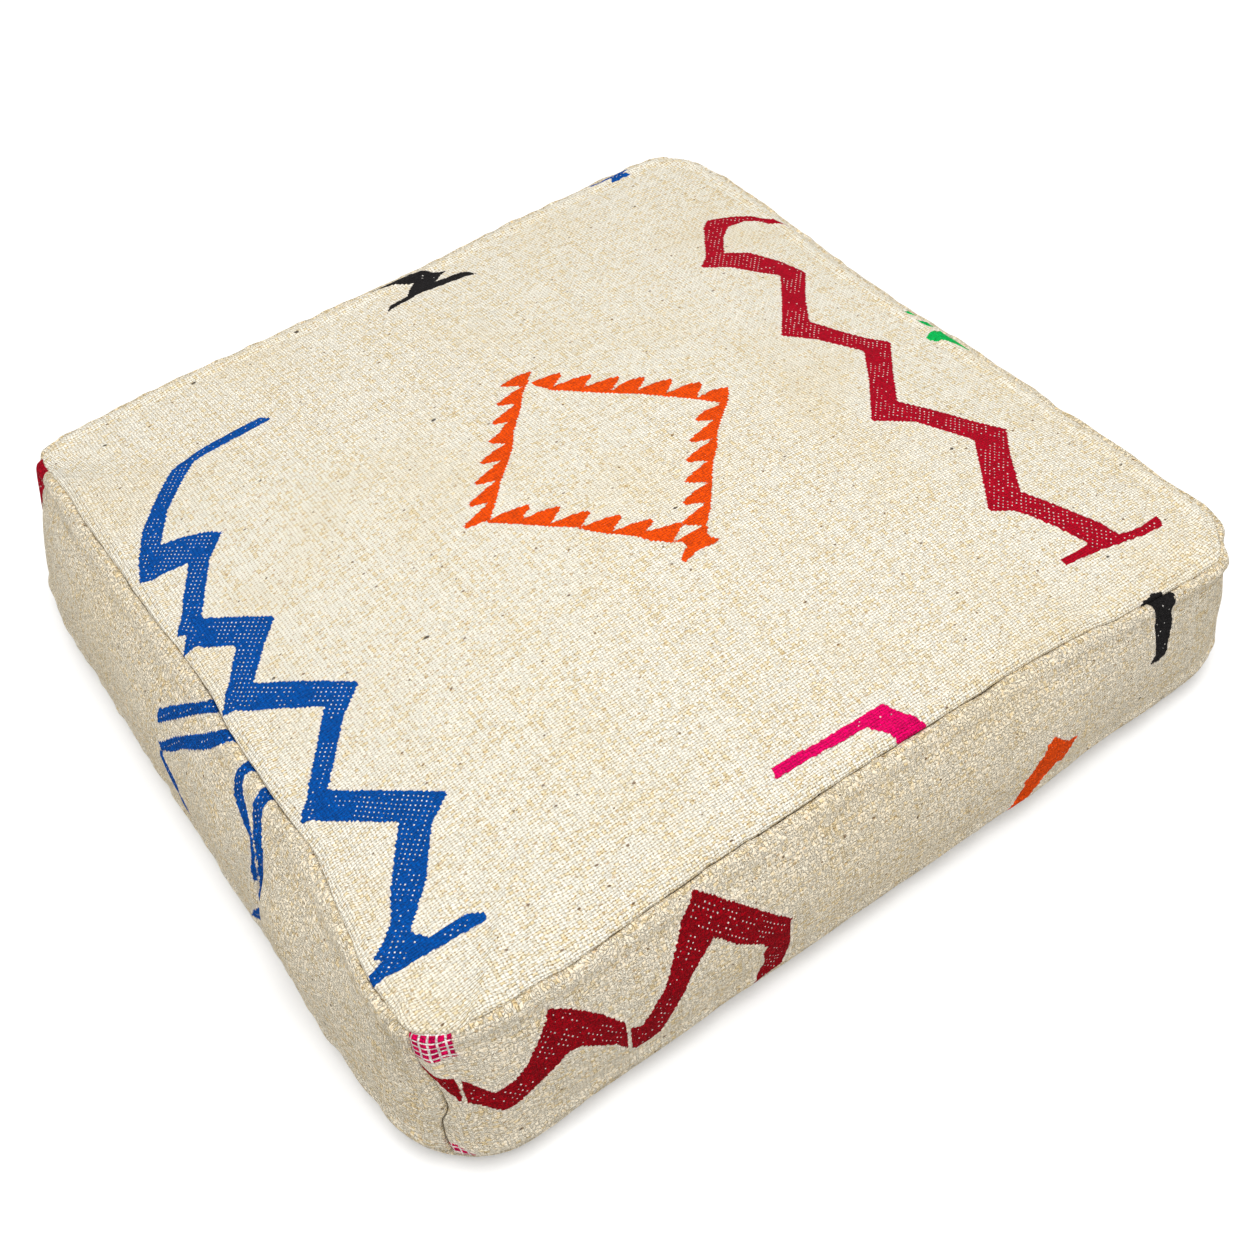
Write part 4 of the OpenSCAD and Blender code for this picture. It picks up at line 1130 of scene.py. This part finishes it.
# %% Plain weave group
plain_weave, weave_in = make_group("plain weave", [
    ("Place", "Vector", None), ("Warp Spacing", "Float", 0.002), ("Weft Spacing", "Float", 0.002),
    ("Wander", "Float", 0.0005)])
t = plain_weave
moved = weave_in["Place"].vector("ADD", shaken(weave_in["Place"], 170.0, 2.0, weave_in["Wander"]))
moved = put(t, "SeparateXYZ", {0: moved})
across, along = moved["X"] / weave_in["Warp Spacing"], moved["Y"] / weave_in["Weft Spacing"]
column, row = across.maths("FLOOR"), along.maths("FLOOR")
part_x, part_y = across - column, along - row
ridge_x, ridge_y = (part_x * math.pi).maths("SINE"), (part_y * math.pi).maths("SINE")
weft_on_top = ((column + row) * 0.5).maths("FRACT") * 2.0
warp_height = ridge_x * (ridge_y * 0.35 + 0.65)
weft_height = ridge_y * (ridge_x * 0.35 + 0.65)
crossing = put(t, "CombineXYZ", {0: column, 1: row})[0]
step = {0: (0.5 - part_x) * weave_in["Warp Spacing"], 1: (0.5 - part_y) * weave_in["Weft Spacing"]}
warp_tone = put(t, "TexWhiteNoise", {"W": column}, noise_dimensions="1D")["Value"]
weft_tone = put(t, "TexWhiteNoise", {"W": row + 0.5}, noise_dimensions="1D")["Value"]
crossing_tone = put(t, "TexWhiteNoise", {"Vector": crossing}, noise_dimensions="2D")["Value"]
strand = (weft_tone - warp_tone) * weft_on_top + warp_tone
close_group(t, [
    ("Height", "Float", (weft_height - warp_height) * weft_on_top + warp_height),
    ("Gap", "Float", (1.0 - ridge_x) * (1.0 - ridge_y)),
    ("Strand Tone", "Float", crossing_tone * 0.55 + strand * 0.45),
    ("Step", "Vector", put(t, "CombineXYZ", step)[0]),
    ("Crossing", "Vector", crossing),
])

# %% [markdown]
# ### Flecks
#
# Undyed wool keeps bits of straw and darker hair. Each fleck is a small stretched cell of a Voronoi pattern,
# and only some cells hold one. The same group makes the small tan slubs of the yarn, the bits of straw and
# the rare dark hairs, each with its own cells.

# %% Flecks group
flecks, fleck_in = make_group("flecks", [
    ("Place", "Vector", None), ("Cell Size", "Float", 0.01), ("Fleck Size", "Float", 0.001),
    ("Stretch", "Float", 2.0), ("Share", "Float", 0.5)])
t = flecks
spread = put(t, "CombineXYZ", {0: fleck_in["Stretch"], 1: 1.0, 2: 1.0})[0]
stretched = fleck_in["Place"].vector("DIVIDE", spread)
stretched = stretched.vector("ADD", shaken(fleck_in["Place"], 400.0, 1.0, fleck_in["Fleck Size"]))
cells = {"Vector": stretched, "Scale": 1.0 / fleck_in["Cell Size"]}
cells = put(t, "TexVoronoi", cells, voronoi_dimensions="2D")
cell_tone = put(t, "SeparateColor", {0: cells["Color"]})
wanted = cell_tone[0].maths("LESS_THAN", fleck_in["Share"])
size = fleck_in["Fleck Size"] / fleck_in["Cell Size"] * (cell_tone[1] * 0.9 + 0.25)
close_group(t, [("Mask", "Float", ramped(1.0 - cells["Distance"] / size, 0.0, 0.5) * wanted)])

# %% [markdown]
# ### The handwoven wool
#
# The recipe in order: cream strands that differ a little from crossing to crossing, painted shade in the gaps
# between them and in the hollows of the grain, a painted shade that makes the side panels a little darker and
# warmer than the top, slow stains, straw flecks, then the ornaments. An ornament's edge is decided once for
# each crossing of the weave, from the distance the mesh carries, so it steps from yarn to yarn as a woven
# edge does. Where the dyed weft is thin, the undyed warp shows through as small pale dots.

# %% Wool material: the undyed cloth
cream_light, cream_dark = from_screen(255, 250, 234), from_screen(244, 226, 184)
# The tan of painted shade in the gaps and hollows of the weave, and the colour of real stains
hollow_shade, cream_stain = from_screen(184, 146, 80), from_screen(238, 218, 176)
tan_slub, straw, dark_hair = from_screen(200, 160, 98), from_screen(120, 86, 48), from_screen(62, 50, 40)
# A painted shade for the side panels
shaded_side = (1.0, 0.967, 0.915)


def carried(tree, name, output):
    """What the mesh carries under a name."""
    return put(tree, "Attribute", attribute_name=name)[output]


wool, t = new_material("handwoven_wool")
place = carried(t, "cloth_place", "Vector")
own = put(t, "SeparateXYZ", {0: place})
weave = place_group(t, plain_weave, Place=place, Warp_Spacing=0.0023, Weft_Spacing=0.0018, Wander=0.0022)
yarn = noisy(place.vector("MULTIPLY", (1.0, 2.2, 1.0)), 230.0, 3.0, Roughness=0.6)
fine = noisy(place, 520.0)
on_a_side = ramped(own["Z"], 0.1, 0.2)
curl = noisy(place, 420.0, 1.0, Distortion=0.6)
curl = ramped((curl - 0.5).maths("ABSOLUTE"), 0.0, 0.11, 1.0, 0.0)
curl_share = on_a_side * 0.75 + 0.25
tone = weave["Strand Tone"] * 0.7 + yarn * 0.35
cream = colours(t, ramped(tone, 0.2, 0.54), cream_dark, cream_light)
# Painted shade in the open gaps between the yarns, half as strong on the side panels
gap_shade = ramped(weave["Gap"], 0.1, 0.42) * ramped(fine, 0.35, 0.6, 0.45, 1.0)
gap_shade = gap_shade * ramped(tone, 0.34, 0.64, 1.0, 0.55)
cream = colours(t, gap_shade * (on_a_side * -0.5 + 1.0), cream, hollow_shade)
# Painted shade in the hollows between the ridges of the grain, mostly on the side panels
cream = colours(t, (1.0 - curl) * curl_share * 0.2, cream, hollow_shade)
# Painted shade: the side panels are made a little darker and warmer than the top
cream = colours(t, on_a_side, cream, colours(t, 1.0, cream, shaded_side, blend="MULTIPLY"))
cream = colours(t, ramped(noisy(place, 9.0, 3.0), 0.45, 0.75, 0.0, 0.3), cream, cream_stain)
for cell, size, stretch, share, strength, tint in (
        (0.0046, 0.0009, 1.7, 0.45, 0.6, tan_slub),
        (0.0150, 0.0009, 1.5, 0.45, 0.85, straw),
        (0.0560, 0.0014, 1.7, 0.35, 0.90, dark_hair)):
    bits = place_group(t, flecks, Place=place, Cell_Size=cell, Fleck_Size=size, Stretch=stretch, Share=share)
    cream = colours(t, bits["Mask"] * strength, cream, tint)

# %% Wool material: where the ornaments are
distance, direction = carried(t, "ornament_distance", "Fac"), carried(t, "ornament_direction", "Vector")
to_crossing = direction.vector("DOT_PRODUCT", weave["Step"].scaled(450.0))
ragged = put(t, "TexWhiteNoise", {"Vector": weave["Crossing"]}, noise_dimensions="2D")["Value"]
at_crossing = distance + to_crossing + (ragged - 0.5) * 0.45 + (fine - 0.5)
in_ornament = ramped(at_crossing, -0.2, 0.2)
cream = colours(t, ramped(distance, -3.2, -0.4, 0.0, 0.4), cream, from_screen(250, 239, 226))

# %% Wool material: the dyed yarn and the dots of bare warp
dot_spacing, block_size = 0.0030, 0.0038
slant = 0.7071
strands = noisy(place.vector("MULTIPLY", (1.0, 3.5, 1.0)), 260.0)
dyed_tone = ramped(strands * 0.7 + weave["Strand Tone"] * 0.3, 0.25, 0.75)
shade = colours(t, dyed_tone, (0.74, 0.74, 0.74), (1.15, 1.15, 1.15))
dyed = colours(t, 1.0, carried(t, "ornament_dye", "Color"), shade, blend="MULTIPLY")
# Painted shade in the gaps of the dyed weave
dyed = colours(t, gap_shade * 0.35, dyed, (0.008, 0.005, 0.01))
slanted = [place.vector("DOT_PRODUCT", (way, slant, 0.0)) for way in (slant, -slant)]
dot_field = put(t, "CombineXYZ", {0: slanted[0], 1: slanted[1]})[0]
dot_cells = put(t, "TexVoronoi", {"Vector": dot_field, "Scale": 1 / dot_spacing, "Randomness": 0.14},
                voronoi_dimensions="2D", distance="CHEBYCHEV")
dot_tone = put(t, "SeparateColor", {0: dot_cells["Color"]})
dots = carried(t, "warp_dots", "Fac")
dot_chance = ramped(noisy(place, 42.0, 1.0), 0.35, 0.5, 0.1, 1.2) * dots * ramped(distance, 1.6, 3.2)
dot_size = dot_tone[1] * 0.07 + 0.095
dot_mask = ramped(dot_size - dot_cells["Distance"], -0.03, 0.03) * dot_tone[0].maths("LESS_THAN", dot_chance)
block_x, block_y = (own[axis].maths("PINGPONG", block_size / 2) for axis in "XY")
between_blocks = ramped(block_x.maths("MINIMUM", block_y), 0.0004, 0.0006, 1.0, 0.0)
dot_mask = (between_blocks - dot_mask) * dots.maths("GREATER_THAN", 1.5) + dot_mask
dyed = colours(t, dot_mask * 0.9, dyed, from_screen(255, 250, 242))

# %% Wool material: relief
relief = weave["Height"] * (on_a_side * -0.6 + 1.2) + yarn * 0.7 + fine * 0.5 + curl * curl_share * 1.7
relief = relief + ramped(at_crossing, -0.7, 0.6) * 1.3 + strands * in_ornament * 0.5 - dot_mask * 0.4
dress(t, {"Base Color": colours(t, in_ornament, cream, dyed), "Roughness": 0.93, "Specular IOR Level": 0.03,
          "Sheen Weight": 0.015, "Sheen Roughness": 0.6}, relief, 1.0, 0.0009)
for panel in panels.values():
    panel.data.materials.append(wool)
print(wool.name, "has", len(t.nodes), "nodes")

# %% [markdown]
# ## Threads, seen and unseen
#
# The raw edges of every seam allowance are bound with thick thread inside the cover, and two rows of small
# stitches hold the hems to the zip. A curve with a bevel could make the long threads; a ring of eight points
# pushed along the seam does it too, and lets the thread wave from side to side as it binds the edge.

# %% Push a ring along a line
thread_radius = 0.9
thread_sway, thread_pitch = 0.6, 10.0


def ring_frame(point, ahead):
    """A matrix that stands a ring at a point, across the way ahead."""
    turn = Vector(ahead).to_track_quat("Z", "Y").to_matrix().to_4x4()
    return Matrix.Translation(Vector(point) * MM) @ turn


def thread_along(name, line, closed, nodes_replaced):
    """A tube of thread along a line of points, waving gently up and down."""
    line = np.array(line, float)
    steps = np.concatenate([[0], np.cumsum(np.linalg.norm(np.diff(line, axis=0), axis=1))])
    line[:, 2] += thread_sway * np.sin(steps * 2 * math.pi / thread_pitch)
    ahead = np.roll(line, -1, 0) - np.roll(line, 1, 0)
    if not closed:
        ahead[0], ahead[-1] = line[1] - line[0], line[-1] - line[-2]
    frames = [ring_frame(point, way) for point, way in zip(line, ahead)]
    bm = bmesh.new()
    ring = bmesh.ops.create_circle(bm, cap_ends=False, segments=8, radius=thread_radius * MM)["verts"]
    bmesh.ops.transform(bm, matrix=frames[0], verts=ring)
    edges = list(bm.edges)
    first_edges = edges
    for before, after in zip(frames, frames[1:]):
        grown = bmesh.ops.extrude_edge_only(bm, edges=edges)["geom"]
        ring = [g for g in grown if isinstance(g, bmesh.types.BMVert)]
        edges = [g for g in grown if isinstance(g, bmesh.types.BMEdge) and all(v in ring for v in g.verts)]
        bmesh.ops.transform(bm, matrix=after @ before.inverted(), verts=ring)
    if closed:
        bmesh.ops.bridge_loops(bm, edges=first_edges + edges)
    else:
        bmesh.ops.holes_fill(bm, edges=first_edges + edges, sides=8)
    bmesh.ops.recalc_face_normals(bm, faces=bm.faces[:])
    return finished(name, bm, nodes_replaced)


def finished(name, bm, nodes_replaced):
    """Turns a bmesh into a piece that rides on the pouf and stands for its CAD nodes."""
    mesh = mesh_of(name, bm)
    mesh.shade_smooth()
    piece = in_scene(name, mesh)
    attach(piece, "pouf")
    if nodes_replaced:
        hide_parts(*nodes_replaced)
    print(name, len(mesh.polygons), "faces")
    return piece


# %% Threads round the two seams and up the four corners
top_thread_past, base_thread_past = 15.4, 14.6
corner_thread_share = np.linspace(0.08, 0.9, 40)


def seam_line(share, past_top, past_base):
    """Points along all four sides, at a distance past the roll."""
    lines = [side_place(side, np.linspace(-last, last, 240), share, 0.0, past_top, past_base)[0]
             for side, last in enumerate(side_last)]
    return np.concatenate(lines)


top_line, base_line = seam_line(1.0, top_thread_past, 0.0), seam_line(0.0, 0.0, base_thread_past)
thread_pieces = [
    thread_along("top_seam_binding", top_line, True, ["top_seam_thread"]),
    thread_along("base_seam_binding", base_line, True, ["base_seam_thread"]),
]
for side, corner in enumerate(("near_right", "far_right", "far_left", "near_left")):
    end = np.full(len(corner_thread_share), side_last[side])
    line = side_place(side, end, corner_thread_share, roll_end + allowance + thread_radius)[0]
    thread_pieces.append(thread_along(corner + "_corner_binding", line, False, [corner + "_corner_thread"]))

# %% Rows of stitches along the two hems
stitch_length, stitch_step, stitch_thick = 3.6, 5.0, 0.9
stitched_reach = 238.0


def stitch_row(name, facing):
    """One row of small rounded stitches, lying in the groove beside a hem."""
    bm = bmesh.new()
    size = Matrix.Diagonal((stitch_length * MM, stitch_thick * MM, stitch_thick * MM, 1))
    for x in np.arange(-stitched_reach, stitched_reach + 1, stitch_step):
        y = zip_place + facing * (float(slot_edge(x)) + fold_radius + stitch_from_fold)
        place = onto_cushion(np.array([x]), np.array([y]), np.array([0.55 * stitch_thick]))[0]
        bmesh.ops.create_uvsphere(
            bm, u_segments=6, v_segments=5, radius=0.5, matrix=Matrix.Translation(Vector(place) * MM) @ size)
    return finished(name, bm, [])


thread_pieces += [stitch_row("hem_stitches_rear", 1), stitch_row("hem_stitches_front", -1)]

# %% [markdown]
# ## What is inside
#
# Under the wool lies a plain cotton case, and in it the wadding. Nobody sees them until the zip is open, yet
# they have to be there and be smooth. Each is a copy of its CAD solid: the copy's loose triangles are merged
# first, so that one level of subdivision can round it.

# %% The case and its filling
def smooth_copy(name, node):
    """A merged and rounded copy of a CAD node."""
    bm = bmesh.new()
    bm.from_mesh(nodes[node].data)
    bmesh.ops.remove_doubles(bm, verts=bm.verts[:], dist=0.00001)
    piece = finished(name, bm, [node])
    rounding = piece.modifiers.new("rounding", "SUBSURF")
    rounding.levels = rounding.render_levels = 1
    return piece


case_pieces = [smooth_copy("cotton_case_top", "inner_case_top"),
               smooth_copy("cotton_case_bottom", "inner_case_bottom")]
case_thread = smooth_copy("case_seam_thread", "inner_case_thread")
wadding = smooth_copy("wadding", "filling")

# %% [markdown]
# ### Fibres
#
# Thread, cotton, zip tape and wadding are all bundles of fibres, and even cast brass clouds in a fibrous way
# as it tarnishes. One group gives a broad tone and a fine height, at whatever size a finish asks for.

# %% Fibres group
fibres, fibre_in = make_group("fibres", [
    ("Place", "Vector", None), ("Size", "Float", 0.001), ("Stretch", "Vector", (1.0, 1.0, 1.0))])
drawn = fibre_in["Place"].vector("MULTIPLY", fibre_in["Stretch"])
dense = 1.0 / fibre_in["Size"]
thin = noisy(drawn, dense)
close_group(fibres, [
    ("Tone", "Float", thin * 0.4 + noisy(drawn, dense * 0.1, 3.0) * 0.6), ("Height", "Float", thin)])


def object_place(tree):
    return put(tree, "TexCoord")["Object"]


def cloth_sheet(tree):
    """Object coordinates laid out so that a weave shows on level and on upright faces alike."""
    parts = put(tree, "SeparateXYZ", {0: object_place(tree)})
    return put(tree, "CombineXYZ", {0: parts["Z"] * 0.7 + parts["X"], 1: parts["Z"] * 0.7 + parts["Y"]})[0]


def fibrous(tree, size, stretch=(1.0, 1.0, 1.0)):
    """Fibres of a size over a piece."""
    return place_group(tree, fibres, Place=object_place(tree), Size=size, Stretch=stretch)


# %% [markdown]
# ### Thread, cotton, wadding, tape, teeth and brass
#
# Spun thread shows its slanting twist, the case is a fine plain cotton, and the wadding is carded fleece in
# soft clumps. The zip's tape is woven tighter than the wool, its teeth are moulded and gleam a little, and
# the slider, its tab and the stops are brass that has darkened in clouds. Pictures wrapped round the pieces
# would do as well; nodes stay sharp from any distance. Each finish takes the same few steps: a tone, two or
# three colours blended by it, and a relief.

# %% Spun thread
thread, t = new_material("spun_thread")
found = fibrous(t, 0.0005, (1.0, 1.0, 2.0))
turns = object_place(t).vector("DOT_PRODUCT", (2400.0, 2400.0, 3600.0))
twist = turns.maths("SINE").maths("ABSOLUTE")
colour = colours(t, found["Tone"], from_screen(206, 194, 166), from_screen(242, 232, 208))
# Painted shade in the grooves between the turns of the twist
colour = colours(t, ramped(twist, 0.0, 0.35, 0.6, 0.0), colour, from_screen(150, 132, 98))
height = found["Height"] * 0.4 + twist
dress(t, {"Base Color": colour, "Roughness": 0.8, "Sheen Weight": 0.1}, height, 0.8, 0.0003)

# %% Cotton of the inner case
cotton, t = new_material("plain_cotton")
sheet = cloth_sheet(t)
woven = place_group(t, plain_weave, Place=sheet, Warp_Spacing=0.0006, Weft_Spacing=0.0006, Wander=0.0002)
found = place_group(t, fibres, Place=sheet, Size=0.002)
tone = woven["Strand Tone"] * 0.4 + found["Tone"] * 0.6
colour = colours(t, tone, from_screen(224, 220, 204), from_screen(250, 248, 238))
# Painted shade in the open gaps of the weave
colour = colours(t, woven["Gap"] * 0.4, colour, from_screen(176, 168, 146))
dress(t, {"Base Color": colour, "Roughness": 0.9}, found["Height"] * 0.5 + woven["Height"], 0.6, 0.0003)

# %% Wadding
fleece, t = new_material("soft_wadding")
found, clump = fibrous(t, 0.0016, (0.35, 1.0, 1.6)), fibrous(t, 0.02)
colour = colours(t, found["Tone"], from_screen(222, 218, 206), from_screen(252, 250, 244))
colour = colours(t, ramped(clump["Tone"], 0.35, 0.6, 0.3, 0.0), colour, from_screen(206, 198, 180))
height = clump["Height"] * 3.0 + found["Height"]
dress(t, {"Base Color": colour, "Roughness": 1.0, "Sheen Weight": 0.3}, height, 0.9, 0.001)

# %% Zip tape
tape, t = new_material("woven_zip_tape")
woven = place_group(t, plain_weave, Place=object_place(t), Warp_Spacing=0.0009, Weft_Spacing=0.0006,
                    Wander=0.00006)
tone = woven["Strand Tone"] * 0.3 + fibrous(t, 0.0012, (0.2, 1.0, 1.0))["Tone"] * 0.7
colour = colours(t, tone, from_screen(214, 202, 172), from_screen(238, 230, 208))
# Painted shade in the open gaps of the weave
colour = colours(t, woven["Gap"] * 0.6, colour, from_screen(150, 136, 104))
rough = ramped(woven["Height"], 0.0, 1.0, 0.8, 0.6)
dress(t, {"Base Color": colour, "Roughness": rough}, woven["Height"], 0.7, 0.0002)

# %% Moulded teeth
teeth, t = new_material("moulded_teeth")
found = fibrous(t, 0.0008)
colour = colours(t, found["Tone"], from_screen(214, 206, 184), from_screen(232, 226, 208))
rough = ramped(found["Tone"], 0.3, 0.7, 0.34, 0.5)
dress(t, {"Base Color": colour, "Roughness": rough}, found["Height"], 0.15, 0.0001)

# %% Antique brass
brass, t = new_material("antique_brass")
found, cloud = fibrous(t, 0.0005), fibrous(t, 0.004)
tarnish = ramped(cloud["Tone"], 0.4, 0.62)
colour = colours(t, tarnish, from_screen(210, 176, 112), from_screen(132, 102, 58))
rough = tarnish * 0.22 + (found["Tone"] * 0.2 + 0.24)
dress(t, {"Base Color": colour, "Metallic": 1.0, "Roughness": rough}, found["Height"], 0.25, 0.0001)

# %% Give each piece its finish
finishes = {
    "zip_tape_front": tape, "zip_tape_rear": tape, "zip_teeth_front": teeth, "zip_teeth_rear": teeth,
    "zip_slider": brass, "zip_pull_tab": brass, "zip_top_stops": brass, "zip_bottom_stop": brass,
    "zip_stitch_front": thread, "zip_stitch_rear": thread,
}
for name, material in finishes.items():
    for holder in nodes[name].material_slots:
        holder.material = material
for material, pieces in ((thread, thread_pieces + [case_thread]), (cotton, case_pieces), (fleece, [wadding])):
    for piece in pieces:
        piece.data.materials.append(material)
print("finished CAD pieces:", len(finishes), "and new ones:", len(thread_pieces) + len(case_pieces) + 2)

# %% [markdown]
# ## Floor and light
#
# The photograph was taken on white, with a large soft light from above. A white floor that the camera sees
# brighter than it lights the pouf keeps the page white, and its shadow stays. The lamps themselves are set
# so that cloth on the top renders in about the colour it is given. The floor is a wide ring with an opening
# just inside the line where the base touches it, so that the base and its zip have light from below as well.

# %% Floor
floor_points, floor_size, floor_drop = 160, 6.0, 0.0003
opening_share, opening_fuller = 0.965, 0.8
floor_colour, floor_glow = (0.8, 0.8, 0.8, 1), 0.23
white = (1, 1, 1, 1)


def looked_at(tree):
    """1 where the camera looks, straight or through glass or a mirror, and 0 for light on its way."""
    ray = put(tree, "LightPath")
    through = ray["Is Glossy Ray"].maths("MAXIMUM", ray["Is Transmission Ray"])
    return ray["Is Camera Ray"].maths("MAXIMUM", through)


bm = bmesh.new()
opening = bmesh.ops.create_circle(bm, cap_ends=False, segments=floor_points, radius=1.0)["verts"]
for v in opening:
    furthest = max(abs(v.co.x), abs(v.co.y))
    ring, side, run = ring_of(np.array([v.co.x / furthest]), np.array([v.co.y / furthest]))
    x, y, out_x, out_y = edge_place(side, run, 0.0)
    spare = fuller(side, run, 0.0) * opening_fuller
    place = onto_cushion(x * opening_share + out_x * spare, y * opening_share + out_y * spare, np.zeros(1))[0]
    v.co = Vector(place) * MM
bmesh.ops.create_circle(bm, cap_ends=False, segments=floor_points, radius=floor_size)
bmesh.ops.bridge_loops(bm, edges=bm.edges[:])
bmesh.ops.translate(bm, verts=bm.verts[:], vec=(0, 0, -floor_drop))
if sum(face.normal.z for face in bm.faces) < 0:
    bmesh.ops.reverse_faces(bm, faces=bm.faces[:])
print("floor faces:", len(bm.faces), "all facing up:", all(face.normal.z > 0 for face in bm.faces))
floor = in_scene("floor", mesh_of("floor", bm))
floor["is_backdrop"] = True

paper, t = new_material("white_paper")
t.nodes.clear()
lit = put(t, "BsdfDiffuse", {"Color": floor_colour})[0]
glow = put(t, "Emission", {"Color": white, "Strength": looked_at(t) * floor_glow})[0]
both = put(t, "AddShader", {0: lit, 1: glow})[0]
from_below, open_below = put(t, "NewGeometry")["Backfacing"], put(t, "BsdfTransparent")[0]
put(t, "OutputMaterial", {"Surface": put(t, "MixShader", {0: from_below, 1: both, 2: open_below})[0]})
floor.data.materials.append(paper)

# %% Light
ambient = 0.6
world = bpy.data.worlds.new("studio")
bpy.context.scene.world = world
world.use_nodes = True
t = world.node_tree
t.nodes.clear()
sky = put(t, "Background", {"Color": white, "Strength": looked_at(t) * (1 - ambient) + ambient})[0]
put(t, "OutputWorld", {"Surface": sky})

lamp_data = bpy.data.lights.new("softbox", "AREA")
lamp_data.size = 2.0
lamp_data.energy = 48
lamp = in_scene("softbox", lamp_data)
lamp.location = (-0.2, -0.3, 2.2)
lamp.rotation_euler = (-lamp.location).to_track_quat("-Z", "Y").to_euler()
bpy.context.scene.view_settings.view_transform = "Standard"

# %% Size of the finished object, and the end
size = {"cad_box": [list(c) for c in frame_box], "visual_box": [list(c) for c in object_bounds()]}
print("difference from the frame, mm:", [[round((v - c) / MM, 1) for v, c in zip(*pair)]
                                         for pair in zip(size["visual_box"], size["cad_box"])])
